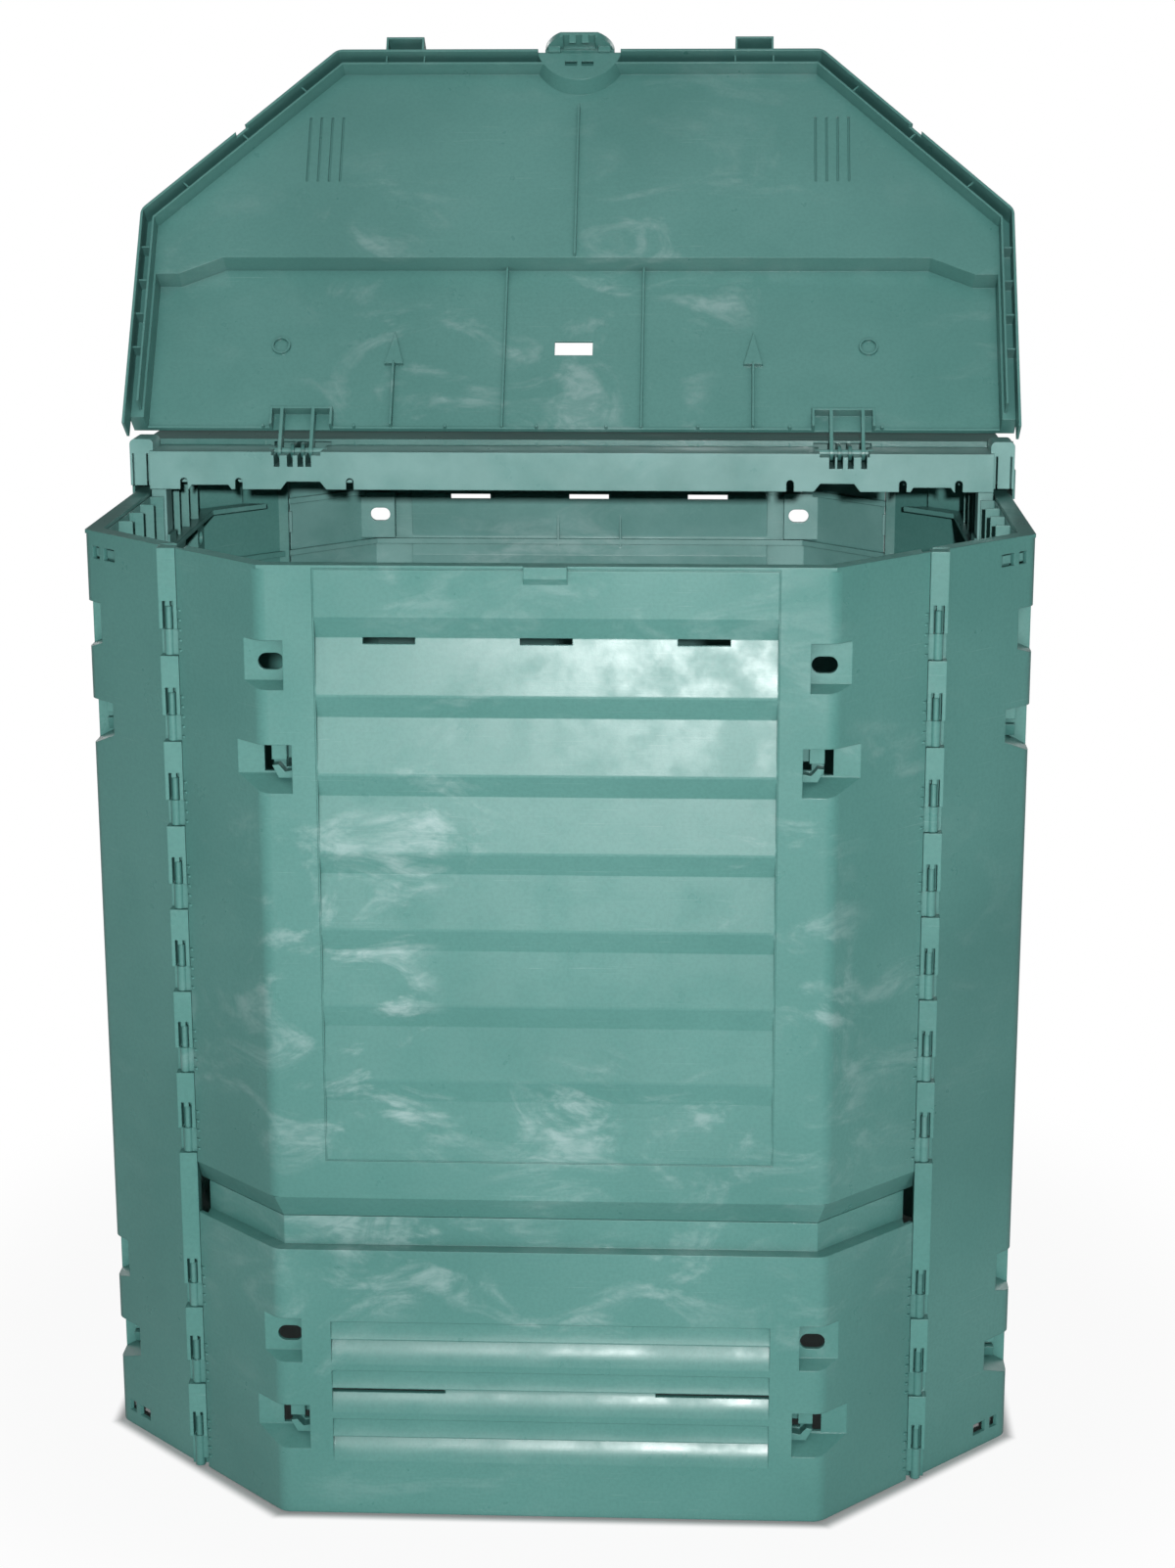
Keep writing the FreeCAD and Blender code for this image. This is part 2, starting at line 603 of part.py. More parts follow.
def add_boards(body):
    """Clapboard field on the main face: each board's under face steps in, and the next slopes out."""
    backs = []
    fronts = []
    for rank in range(int(number("board_count"))):
        top = "(height - board_drop - board_pitch * %d)" % rank
        deep = "(board_deep - board_fade * %d)" % rank
        ends = (top, "%s - board_step" % top, "%s + board_flat - board_pitch" % top)
        skin = "(wall / 2 - %s)" % HALF
        backs.append([(skin, ends[0]), ("wall - %s" % HALF, ends[0]),
                      ("wall + %s - %s" % (deep, HALF), ends[1]), ("wall - %s" % HALF, ends[2]),
                      (skin, ends[2])])
        fronts.append([("-%s" % HALF, ends[0]), ("%s - %s" % (deep, HALF), ends[1]),
                       ("-%s" % HALF, ends[2])])
    prism(body, "board_backs", "YZ", backs, "-field_half - wall", "2 * field_half + 2 * wall")
    prism(body, "boards", "YZ", fronts, "-field_half", "2 * field_half", cut=True)
    low = "height - field_top - field_tall"
    outer = box_loop("-field_half - scribe", "field_half + scribe", low, "height - field_top")
    inner = box_loop("-field_half", "field_half", low + " + scribe", "height - field_top - scribe")
    prism(body, "field_line", "XZ", [outer, inner], "-%s - past" % HALF, "past + scribe_deep", cut=True)


def add_vents(body):
    """Row of narrow slots just under the first board."""
    slots = [box_loop("vent_pitch * %d - vent_wide / 2" % rank, "vent_pitch * %d + vent_wide / 2" % rank,
                      "height - vent_drop - vent_tall / 2", "height - vent_drop + vent_tall / 2")
             for rank in (-1, 0, 1)]
    prism(body, "vents", "XZ", slots, "-%s - past" % HALF, "past + board_deep + through", cut=True)


def add_rim(body, end):
    """Flange round the top edge, turned inward."""
    prism(body, "rim_flange", "XY", [bent_strip("0", "flange", end)], "height - flange_thick",
          "flange_thick")


def add_inner_ribs(body, drops, low, high, end):
    """Ribs on the inner face: level ones that follow the folds, and two upright ones."""
    for rank, drop in enumerate(drops, start=1):
        strip = bent_strip("wall / 2", "wall + rib_deep", end)
        prism(body, "level_rib_%d" % rank, "XY", [strip], "height - %s - rib_tall" % drop, "rib_tall")
    strip = box_loop("rib_side - rib_thick / 2", "rib_side + rib_thick / 2", "wall / 2 - %s" % HALF,
                     "wall + rib_deep - %s" % HALF)
    prism(body, "upright_ribs", "XY", both_sides(strip), low, "%s - (%s)" % (high, low))


def add_lip(body, low):
    """Sloping lip along the panel's lower edge, all the way round onto the wings."""
    loft(body, "lip", bent_strip("lip_in", "lip_in + wall", EDGE), bent_strip("0", "wall", EDGE),
         (low + " - lip_tall", low))


def add_catch(body):
    """Catch for the lid's latch, under the rim, with a sloping under face."""
    profile = [("wall / 2 - %s" % HALF, "height"), ("-%s - catch_proud" % HALF, "height"),
               ("-%s - catch_proud" % HALF, "height - catch_flat"), ("-" + HALF, "height - catch_tall"),
               ("wall / 2 - %s" % HALF, "height - catch_tall")]
    prism(body, "catch", "YZ", [profile], "-catch_half", "2 * catch_half")


def make_upper_panel(label, turn):
    """Upper panel of the front or rear: boarded face, vents, catch, knuckles and sloping lip."""
    body = new_body(label, turn)
    low = "(height - lip_drop)"
    prism(body, "shell", "XY", [bent_strip("0", "wall", EDGE)], low, "lip_drop")
    fold_corners(body, "folds")
    add_rim(body, EDGE + " - flange / 2")
    add_inner_ribs(body, ("rib_drop", "rib_second"), low + " + wall", "height - flange_thick / 2", EDGE)
    add_boards(body)
    add_vents(body)
    gate = [("0", "height - gate_drop", "gate_radius")]
    prism(body, "gate_mark", "XZ", [gate], "-%s - past" % HALF, "past + gate_deep", cut=True)
    add_catch(body)
    add_eye(body, "eye", "eye_upper")
    add_hook(body, "hook", "hook_upper")
    add_lip(body, low)
    add_knuckles(body, "upper_drop", "upper_units")
    return body


def make_hatch(label, turn):
    """Lower panel of the front or rear: louvred face, upstand behind the upper panel's lip, knuckles."""
    body = new_body(label, turn)
    ledge = "(height - ledge_drop)"
    prism(body, "shell", "XY", [bent_strip("0", "wall", EDGE)], "hatch_lift", ledge + " - hatch_lift")
    fold_corners(body, "folds")
    back = EDGE + " - upstand_back"
    prism(body, "ledge", "XY", [bent_strip("wall / 2", "lip_in + wall", back)], ledge + " - wall", "wall")
    prism(body, "upstand", "XY", [bent_strip("lip_in", "lip_in + wall", back)], ledge + " - wall",
          "ledge_drop - lip_drop - lip_tall - lip_gap + wall")
    add_louvres(body)
    add_eye(body, "eye", "eye_lower")
    add_hook(body, "hook", "hook_lower")
    swing = [(SEAM, "-" + PIN_AT, "edge_swing")]
    prism(body, "edge_reliefs", "XY", circles_both_sides(swing), "0", ledge, cut=True)
    add_knuckles(body, "lower_drop", "lower_units")
    lowest = unit_tops("lower_drop", "lower_units")[-1]
    prism(body, "lowest_knuckles", "XY", circles_both_sides([(SEAM, "-" + PIN_AT, "knuckle / 2")]),
          "hatch_lift", lowest + " - slot_tall - knuckle_tall / 2 - hatch_lift")
    return body


def add_louvres(body):
    """Grooves across the face, with a hollow face over and a rounded face under each; the middle one
    is open at both ends."""
    backs = []
    fronts = []
    coves = []
    for rank in range(int(number("louvre_count"))):
        groove = "(louvre_first - louvre_pitch * %d)" % rank
        lip = "(%s + louvre_slot / 2)" % groove
        root = "(%s - louvre_slot / 2)" % groove
        crest = "(%s - louvre_face)" % groove
        skin = "(wall / 2 - %s)" % HALF
        deep = "(wall + louvre_deep - %s)" % HALF
        cove = "(%s + cove_tall)" % lip
        behind = "(wall + cove_deep - %s)" % HALF
        backs.append([(skin, cove + " + wall"), (behind, cove + " + wall / 2"), (behind, lip + " + wall"),
                      (deep, lip + " + wall"), (deep, root), ("wall - %s" % HALF, crest), (skin, crest)])
        fronts.append([("louvre_deep - %s" % HALF, lip), ("louvre_deep - %s" % HALF, root, "louvre_round"),
                       ("-" + HALF, crest), ("-" + HALF, lip)])
        coves.append([("-" + HALF, lip, "cove_round"), ("cove_deep - %s" % HALF, cove),
                      ("-" + HALF, cove)])
    prism(body, "louvre_backs", "YZ", backs, "-louvre_half - wall", "2 * louvre_half + 2 * wall")
    prism(body, "louvres", "YZ", fronts, "-louvre_half", "2 * louvre_half", cut=True)
    prism(body, "coves", "YZ", coves, "-louvre_half", "2 * louvre_half", cut=True)
    middle = "(louvre_first - louvre_pitch)"
    slot = box_loop("louvre_closed", "louvre_half", middle + " - louvre_open",
                    middle + " + louvre_slot / 2")
    prism(body, "open_slots", "XZ", both_sides(slot), "-%s - past" % HALF, "past + louvre_deep + through",
          cut=True)


def make_side_panel(label, turn):
    """Full-height side: seam columns at both edges, clip holes, boards, louvres, eyes and hooks."""
    body = new_body(label, turn)
    end = "(%s - column / 2)" % SEAM
    prism(body, "shell", "XY", [bent_strip("0", "wall", end + " + wall / 2")], "0", "height")
    fold_corners(body, "folds")
    square = box_loop(end, end + " + column", "-%s - column / 2" % SEAM, "column / 2 - %s" % SEAM)
    prism(body, "columns", "XY", both_sides(square), "0", "height")
    add_rim(body, end + " - flange / 2")
    add_inner_ribs(body, ("rib_second",), "2 * wall", "height - rail_drop - rail_thick - play", end)
    add_boards(body)
    add_vents(body)
    add_louvres(body)
    for level in ("upper", "lower"):
        add_eye(body, level + "_eye", "eye_" + level)
        add_hook(body, level + "_hook", "hook_" + level)
    add_clip_holes(body)
    add_column_units(body)
    return body


def clip_plans(play, inward, outward):
    """Plans of the two clips on each wing, smaller by the play, between two depths."""
    plans = [wing_box("%s + %s" % (near, play), "%s - 2 * (%s)" % (wide, play), inward, outward)
             for near, wide in (("clip_near", "clip_wide"), ("clip_far", "clip_broad"))]
    return both_sides(*plans)


def add_clip_holes(body):
    """Pairs of holes through each wing beside the fold, at the top and at the bottom."""
    for name, level in (("top", "height - clip_drop - clip_tall"), ("bottom", "clip_low")):
        prism(body, name + "_clips", "XY", clip_plans("0", "-through", "wall"), level, "clip_tall",
              cut=True)


def add_column_units(body):
    """Slots for the stems and gaps for the knuckles, down both columns."""
    tops = unit_tops("upper_drop", "upper_units") + unit_tops("lower_drop", "lower_units")
    inner = "(%s - column / 2 + back_wall)" % SEAM
    outer = "(%s + column)" % SEAM
    slots = [box_loop(inner, outer, top + " - slot_tall", top + " - slot_bar") for top in tops]
    prism(body, "stem_slots", "XZ", both_sides(*slots), "-%s - knuckle / 2" % SEAM, "knuckle", cut=True)
    gaps = [box_loop(inner, outer, top + " - slot_tall - 2 * play - knuckle_tall", top + " - slot_tall")
            for top in tops[:-1]]
    gaps.append(box_loop(inner, outer, "-past", tops[-1] + " - slot_tall"))
    prism(body, "knuckle_gaps", "XZ", both_sides(*gaps), "-%s - column" % SEAM, "2 * column", cut=True)
    nubs = [box_loop("%s + column / 2 - nub" % SEAM, "%s + column / 2" % SEAM,
                     top + " - slot_bar - nub", top + " - slot_bar / 2") for top in tops]
    prism(body, "nubs", "XZ", both_sides(*nubs), "-%s - nub / 2" % SEAM, "nub")


def make_rim_frame(label, turn):
    """Ribbed frame behind a side's rim: rail, back, ribs, beam pocket and tongues in the clip holes."""
    body = new_body(label, turn)
    low = "(height - rail_drop - rail_thick)"
    top = "(height - flange_thick - play)"
    near = "(wall + frame_gap)"
    prism(body, "rail", "XY", [bent_strip(near, "rail_in", "frame_end")], low, "rail_thick")
    prism(body, "back", "XY", [bent_strip(near, near + " + frame_wall", "frame_end")], low,
          "%s - %s" % (top, low))
    face = "(%s - %s)" % (near, HALF)
    plans = [box_loop("pocket_half + stay_pitch * %d" % rank,
                      "pocket_half + frame_wall + stay_pitch * %d" % rank, face,
                      "stay_in - %s" % HALF) for rank in range(int(number("stay_count")))]
    prism(body, "stays", "XY", both_sides(*plans), low, "%s - %s" % (top, low))
    front = box_loop("-pocket_half - frame_wall", "pocket_half + frame_wall",
                     "rail_in - frame_wall - %s" % HALF, "rail_in - %s" % HALF)
    prism(body, "pocket_front", "XY", [front], low, "pocket_tall")
    inward = "-(wall + frame_gap + frame_wall / 2)"
    prism(body, "tongues", "XY", clip_plans("tongue_play", inward, "-tongue_short"),
          "height - clip_drop - clip_tall + tongue_play", "clip_tall - 2 * tongue_play")
    return body


def make_beam(label):
    """Beam across the bin: hollow bar with hinge wells, arched notches, end posts and feet."""
    body = new_body(label)
    low = "(height + beam_low)"
    axis = "(height + hinge_rise)"
    bar = box_loop("-post_from", "post_from", "-beam_half", "beam_half")
    prism(body, "bar", "XY", [bar], low, "beam_top - beam_low")
    inside = box_loop("-post_from + beam_wall", "post_from - beam_wall", "beam_wall - beam_half",
                      "beam_half - beam_wall")
    prism(body, "bar_hollow", "XY", [inside], low, "beam_top - beam_low - beam_wall", cut=True)
    well = box_loop("well_from", "well_to", "-beam_half", "beam_half")
    prism(body, "well_blocks", "XY", both_sides(well), axis + " - well_deep - beam_wall",
          "beam_top - hinge_rise + well_deep + beam_wall")
    window = box_loop("well_from + well_cheek", "well_to - well_cheek", "-beam_half - past",
                      "beam_half + past")
    prism(body, "pin_windows", "XY", both_sides(window), axis + " - pin_shown", "pin_shown + hinge_rise",
          cut=True)
    slots = [box_loop("%s - fin / 2 - fin_play" % place, "%s + fin / 2 + fin_play" % place,
                      "-beam_half - past", "beam_half + past") for place in FRONT_FINS + REAR_FINS]
    prism(body, "fin_slots", "XY", both_sides(*slots), axis + " - well_deep", "well_deep", cut=True)
    for side, start in (("left", "-pin_middle - pin_half"), ("right", "pin_middle - pin_half")):
        prism(body, "pin_seat_" + side, "YZ", [[("0", axis, "pin_radius + pin_fit")]], start,
              "2 * pin_half", cut=True)
    end = box_loop("post_from - beam_wall", "beam_reach", "-post_half", "post_half")
    prism(body, "posts", "XY", both_sides(end), "height + post_low", "post_top - post_low")
    crown = number("height + post_top")
    round_edges(body, "post_corners", "post_round", lambda edge, middle: abs(middle.y) < 1
                and abs(middle.z - crown) < 1)
    foot = box_loop("foot_from", "foot_to", "foot_play - pocket_half", "pocket_half - foot_play")
    prism(body, "feet", "XY", both_sides(foot), "height - rail_drop", "rail_drop + beam_low + beam_wall")
    under = box_loop("post_from", "beam_reach - beam_wall", "beam_wall - post_half",
                     "post_half - beam_wall")
    prism(body, "post_hollows", "XY", both_sides(under), "height + beam_low",
          "post_top - beam_low - beam_wall", cut=True)
    inner = box_loop("foot_from + beam_wall", "foot_to - beam_wall", "foot_play - pocket_half + beam_wall",
                     "pocket_half - foot_play - beam_wall")
    prism(body, "foot_hollows", "XY", both_sides(inner), "height - rail_drop - past",
          "rail_drop + beam_low - past", cut=True)
    face = "((post_from + beam_reach) / 2)"
    slits = [box_loop("%s + %s" % (face, edge), "%s + %s + slit" % (face, edge), "height",
                      "height + beam_top - beam_wall") for edge in ("tongue_half", "(-tongue_half - slit)")]
    prism(body, "slits", "XZ", both_sides(*slits), "-post_half - past", "past + 2 * beam_wall", cut=True)
    add_beam_notches(body)
    return body


def add_beam_notches(body):
    """Notches and cut-outs along the beam's lower edges, through front and rear."""
    low = "(height + beam_low - past)"
    half = "arch_wide / 2"
    shoulder = "height + arch_top - %s" % half
    cuts = []
    for middle in ("arch_outer", "arch_middle", "arch_inner"):
        left = "%s - %s" % (middle, half)
        right = "%s + %s" % (middle, half)
        cuts.append([(left, low), (right, low), (right, shoulder, half), (left, shoulder)])
    for cut in ("cutout", "undercut"):
        cuts.append([("%s_from - %s_flare" % (cut, cut), low), ("%s_to + %s_flare" % (cut, cut), low),
                     ("%s_to" % cut, "height + %s_top" % cut), ("%s_from" % cut, "height + %s_top" % cut)])
    prism(body, "notches", "XZ", both_sides(*cuts), "-beam_half - past", "2 * beam_half + 2 * past",
          cut=True)


def make_hinge_pin(label, side):
    """Round pin through a hinge well and the fins of both lids."""
    pin = doc.addObject("Part::Cylinder", label)
    pin.Label = label
    pin.setExpression("Radius", sized("pin_radius"))
    pin.setExpression("Height", sized("2 * pin_half - 2 * play"))
    pin.Placement = FreeCAD.Placement(Vector(), FreeCAD.Rotation(Vector(0, 1, 0), 90))
    start = "%d * pin_middle - pin_half + play" % side
    pin.setExpression(".Placement.Base.x", sized(start))
    pin.setExpression(".Placement.Base.z", sized("height + hinge_rise"))
    return pin


def lid_strip(outside, inside, rear):
    """Plan of a wall inside the lid's edge, between two offsets from the skirt's outside."""
    points = []
    for offset, back in ((outside, False), (inside, True)):
        reach = "(%s + overhang - (%s))" % (HALF, offset)
        fold = "(%s + (overhang - (%s)) * %s)" % (FOLD, offset, TURN)
        walk = [("-" + reach, "-(%s)" % rear), ("-" + reach, "-" + fold), ("-" + fold, "-" + reach),
                (fold, "-" + reach), (reach, "-" + fold), (reach, "-(%s)" % rear)]
        points += walk[::-1] if back else walk
    return points


def lid_plan(rear):
    """Plan of half the lid, to the skirt's outside."""
    return lid_strip("0", "0", rear)[:6]


def tray_plan(grow):
    """Plan of the high roof, grown by a wall."""
    side = "(tray_half + %s)" % grow
    bend = "-tray_bend - %s" % grow
    step = "-step_at - %s" % grow
    return [("-" + side, "-lid_from"), ("-" + side, bend), ("-tray_level", bend), ("-step_half", step),
            ("step_half", step), ("tray_level", bend), (side, bend), (side, "-lid_from")]


def place_on_hinge(body, is_front):
    """Moves a piece drawn with the hinge axis at its origin to the hinge: the front lid's pieces
    tilted open, the rear lid's turned to the rear and closed."""
    if is_front:
        body.Placement = FreeCAD.Placement(Vector(), FreeCAD.Rotation(Vector(-1, 0, 0), 1))
        body.setExpression(".Placement.Rotation.Angle", sized("lid_open"))
    else:
        body.Placement = FreeCAD.Placement(Vector(), FreeCAD.Rotation(Vector(0, 0, 1), 180))
    body.setExpression(".Placement.Base.z", sized("height + hinge_rise"))


def make_lid(label, is_front, fins):
    """Half of the lid, drawn closed with the hinge axis at the origin, Z up, the edge towards -Y."""
    body = new_body(label)
    low_roof = "(roof_low - skirt_low)"
    high_roof = "(roof_high - skirt_low)"
    prism(body, "roof", "XY", [lid_plan("lid_from")], low_roof, "lid_wall")
    prism(body, "skirt", "XY", [lid_strip("0", "lid_wall", "skirt_from")], "-skirt_low",
          "roof_low + lid_wall")
    wide = number(HALF + " + overhang")
    fold = number("%s + overhang * %s" % (FOLD, TURN))
    round_edges(body, "plan_corners", "lid_corner", lambda edge, middle: is_upright(edge)
                and sorted((round(abs(middle.x), 2), round(abs(middle.y), 2)))
                == [round(fold, 2), round(wide, 2)])
    prism(body, "tray", "XY", [tray_plan("lid_wall")], low_roof, "roof_high - roof_low + lid_wall")
    prism(body, "tray_hollow", "XY", [tray_plan("0")], low_roof + " - past", "roof_high - roof_low + past",
          cut=True)
    rear = box_loop("-tray_half - lid_wall", "tray_half + lid_wall", "-lid_from - lid_wall", "-lid_from")
    prism(body, "rear_wall", "XY", [rear], high_roof + " - wall_tall", "wall_tall + lid_wall / 2")
    shoulder = box_loop("tray_half + lid_wall / 2", HALF + " + overhang - lid_wall / 2",
                        "-lid_from - lid_wall", "-lid_from")
    prism(body, "shoulders", "XY", both_sides(shoulder), low_roof, "roof_high - roof_low + lid_wall")
    add_hinge_pockets(body, high_roof)
    prism(body, "ridge", "XY", [lid_strip("ridge_in - ridge_wall / 2", "ridge_in + ridge_wall / 2",
                                          "ridge_from")],
          "ridge_gap - hinge_rise", low_roof + " + hinge_rise - ridge_gap + lid_wall / 2")
    add_ties(body, low_roof)
    corner_notch = box_loop(SEAM + " - column / 2 - play", SEAM + " + column / 2 + play",
                            "-%s - column / 2 - play" % SEAM, "column / 2 + play - " + SEAM)
    prism(body, "column_notches", "XY", both_sides(corner_notch), "-skirt_low - past",
          "skirt_low + past + ridge_gap - hinge_rise", cut=True)
    add_tabs(body)
    add_cup(body)
    add_roof_details(body, low_roof, high_roof)
    add_fins(body, fins)
    place_on_hinge(body, is_front)
    return body


def add_hinge_pockets(body, roof):
    """Sets the rear wall back round each pair of hinge fins."""
    outer = box_loop("well_from - lid_wall", "well_to + lid_wall", "-lid_from - niche_deep - lid_wall",
                     "-lid_from")
    prism(body, "niche_walls", "XY", both_sides(outer), "-fin_low", roof + " + fin_low + lid_wall / 2")
    inner = box_loop("well_from", "well_to", "-lid_from - niche_deep", "past - lid_from")
    prism(body, "niches", "XY", both_sides(inner), "-fin_low - past", roof + " + fin_low + past",
          cut=True)


def add_ties(body, roof):
    """Short ties between skirt and ridge, along the sides, the slants and the edge."""
    reach = "(%s + overhang)" % HALF
    half = "tie_thick / 2"
    plans = []
    for rank in range(int(number("tie_count"))):
        away = "(tie_first + tie_pitch * %d)" % rank
        plans.append(box_loop(reach + " - ridge_in", reach + " - lid_wall / 2", "-%s - %s" % (away, half),
                              "%s - %s" % (half, away)))
    for share in TIE_SHARES:
        x = "(%s - (corner + overhang * (2 - %s)) * %s)" % (reach, ROOT, share)
        y = "(%s + overhang * %s + (corner + overhang * (2 - %s)) * %s)" % (FOLD, TURN, ROOT, share)
        near = "(lid_wall / 2 / %s)" % ROOT
        far = "(ridge_in / %s)" % ROOT
        edge = "(%s / %s)" % (half, ROOT)
        plans.append([("%s - %s - %s" % (x, near, edge), "%s - %s - %s" % (near, y, edge)),
                      ("%s - %s + %s" % (x, near, edge), "%s - %s + %s" % (near, y, edge)),
                      ("%s - %s + %s" % (x, far, edge), "%s - %s + %s" % (far, y, edge)),
                      ("%s - %s - %s" % (x, far, edge), "%s - %s - %s" % (far, y, edge))])
    for place in ("tab_from", "tab_to"):
        plans.append(box_loop("%s - %s" % (place, half), "%s + %s" % (place, half),
                              "lid_wall / 2 - " + reach, "ridge_in - " + reach))
    prism(body, "ties", "XY", both_sides(*plans), "tie_short - hinge_rise",
          roof + " + hinge_rise - tie_short + lid_wall / 2")


def add_tabs(body):
    """Two hooded grip tabs on the lid's edge, open below."""
    reach = "(%s + overhang)" % HALF
    outer = box_loop("tab_from", "tab_to", "-tab_out", "lid_wall / 2 - " + reach)
    prism(body, "tabs", "XY", both_sides(outer), "-skirt_low", "roof_low + lid_wall")
    inner = box_loop("tab_from + tab_wall", "tab_to - tab_wall", "tab_wall - tab_out", "-" + reach)
    prism(body, "tab_hollows", "XY", both_sides(inner), "-skirt_low - past", "roof_low + past", cut=True)


def cup_plan(half, radius, shrink):
    """Plan of the cup against the lid's edge, smaller by a wall."""
    edge = "-(%s + overhang)" % HALF
    return [("(%s - %s)" % (half, shrink), edge, "(%s - %s)" % (radius, shrink)),
            ("-(%s - %s)" % (half, shrink), edge)]


def add_cup(body):
    """Round finger cup in the middle of the edge, with two holes in its floor."""
    edge = "-(%s + overhang)" % HALF
    floor = "(ridge_gap - hinge_rise)"
    roof = "(roof_low - skirt_low)"
    clear = box_loop("-gap_half", "gap_half", edge + " - past", edge + " + lid_wall + past")
    prism(body, "skirt_gap", "XY", [clear], "-skirt_low - past", "roof_low + past", cut=True)
    loft(body, "cup", cup_plan("cup_floor", "cup_floor_round", "0"),
         cup_plan("cup_mouth", "cup_mouth_round", "0"), (floor, roof + " + lid_wall / 2"))
    loft(body, "cup_hollow", cup_plan("cup_floor", "cup_floor_round", "lid_wall"),
         cup_plan("cup_mouth", "cup_mouth_round", "lid_wall"),
         (floor + " + lid_wall", roof + " + lid_wall + past"), cut=True)
    hole = box_loop("eyelet_from", "eyelet_from + eyelet_wide", "-eyelet_at - eyelet_long", "-eyelet_at")
    prism(body, "eyelets", "XY", both_sides(hole), floor + " - past", "lid_wall + 2 * past", cut=True)


def add_roof_details(body, low_roof, high_roof):
    """Ribs, gussets, bosses, slot, grooves and pegs on the inside of the roof."""
    bury = "lid_wall / 2"
    half = "rib_thick / 2"
    rear = "-lid_from - " + bury
    middle = box_loop("-" + half, half, "-mid_rib_to", "-step_at - " + bury)
    prism(body, "middle_rib", "XY", [middle], low_roof + " - inside_rib", "inside_rib + " + bury)
    rib = box_loop("tray_rib - " + half, "tray_rib + " + half, "-step_at - " + bury, rear)
    prism(body, "tray_ribs", "XY", both_sides(rib), high_roof + " - inside_rib", "inside_rib + " + bury)
    stem = box_loop("gusset_at - " + half, "gusset_at + " + half, "-gusset_from", rear)
    arrow = [("gusset_at - gusset_half", "-gusset_from"), ("gusset_at", "-gusset_to"),
             ("gusset_at + gusset_half", "-gusset_from")]
    prism(body, "gusset_stems", "XY", both_sides(stem), high_roof + " - gusset_tall",
          "gusset_tall + " + bury)
    prism(body, "gusset_heads", "XY", both_sides(arrow), high_roof + " - gusset_tall / 2",
          "gusset_tall / 2 + " + bury)
    ring = [("boss_at", "-boss_away", "boss_radius")]
    dimple = [("boss_at", "-boss_away", "boss_radius - rib_thick")]
    prism(body, "bosses", "XY", circles_both_sides(ring, dimple), high_roof + " - boss_tall",
          "boss_tall + " + bury)
    pegs = [[("tray_rib / 2 + peg_pitch * %d" % rank, rear, "peg_radius")]
            for rank in range(int(number("peg_count")))]
    prism(body, "pegs", "XY", circles_both_sides(*pegs), high_roof + " - wall_tall - peg_drop",
          "wall_tall + peg_drop")
    hand = box_loop("-hand_half", "hand_half", "-hand_to", "-hand_from")
    prism(body, "hand_slot", "XY", [hand], high_roof + " - past", "lid_wall + 2 * past", cut=True)
    slits = []
    for rank in range(int(number("slat_count"))):
        place = "(slat_first + slat_pitch * %d)" % rank
        slits.append(box_loop(place + " - slat_wide / 2", place + " + slat_wide / 2",
                              "-slat_from - slat_long", "-slat_from"))
    prism(body, "slits", "XY", both_sides(*slits), low_roof + " - past", "past + slat_deep", cut=True)


def circles_both_sides(*circles):
    """Circles with their mirror images."""
    return list(circles) + [[("-(%s)" % x, y, radius)] for [(x, y, radius)] in circles]


def add_fins(body, fins):
    """Hinge fins from the rear wall to the axis, bored for the pin."""
    root = "-lid_from - niche_deep - lid_wall / 2"
    arms = [box_loop("%s - fin / 2" % place, "%s + fin / 2" % place, root, "0")
            for place in fins]
    prism(body, "fin_arms", "XY", both_sides(*arms), "-fin_low", "fin_low + roof_high - skirt_low")
    hubs = [box_loop("%s - fin / 2" % place, "%s + fin / 2" % place, "0", "hub") for place in fins]
    revolve(body, "fin_hubs", "XY", "0", "0", both_sides(*hubs))
    reach = "(pin_middle + pin_half)"
    prism(body, "fin_bores", "YZ", [[("0", "0", "pin_radius + pin_fit")]], "-" + reach, "2 * " + reach,
          cut=True)


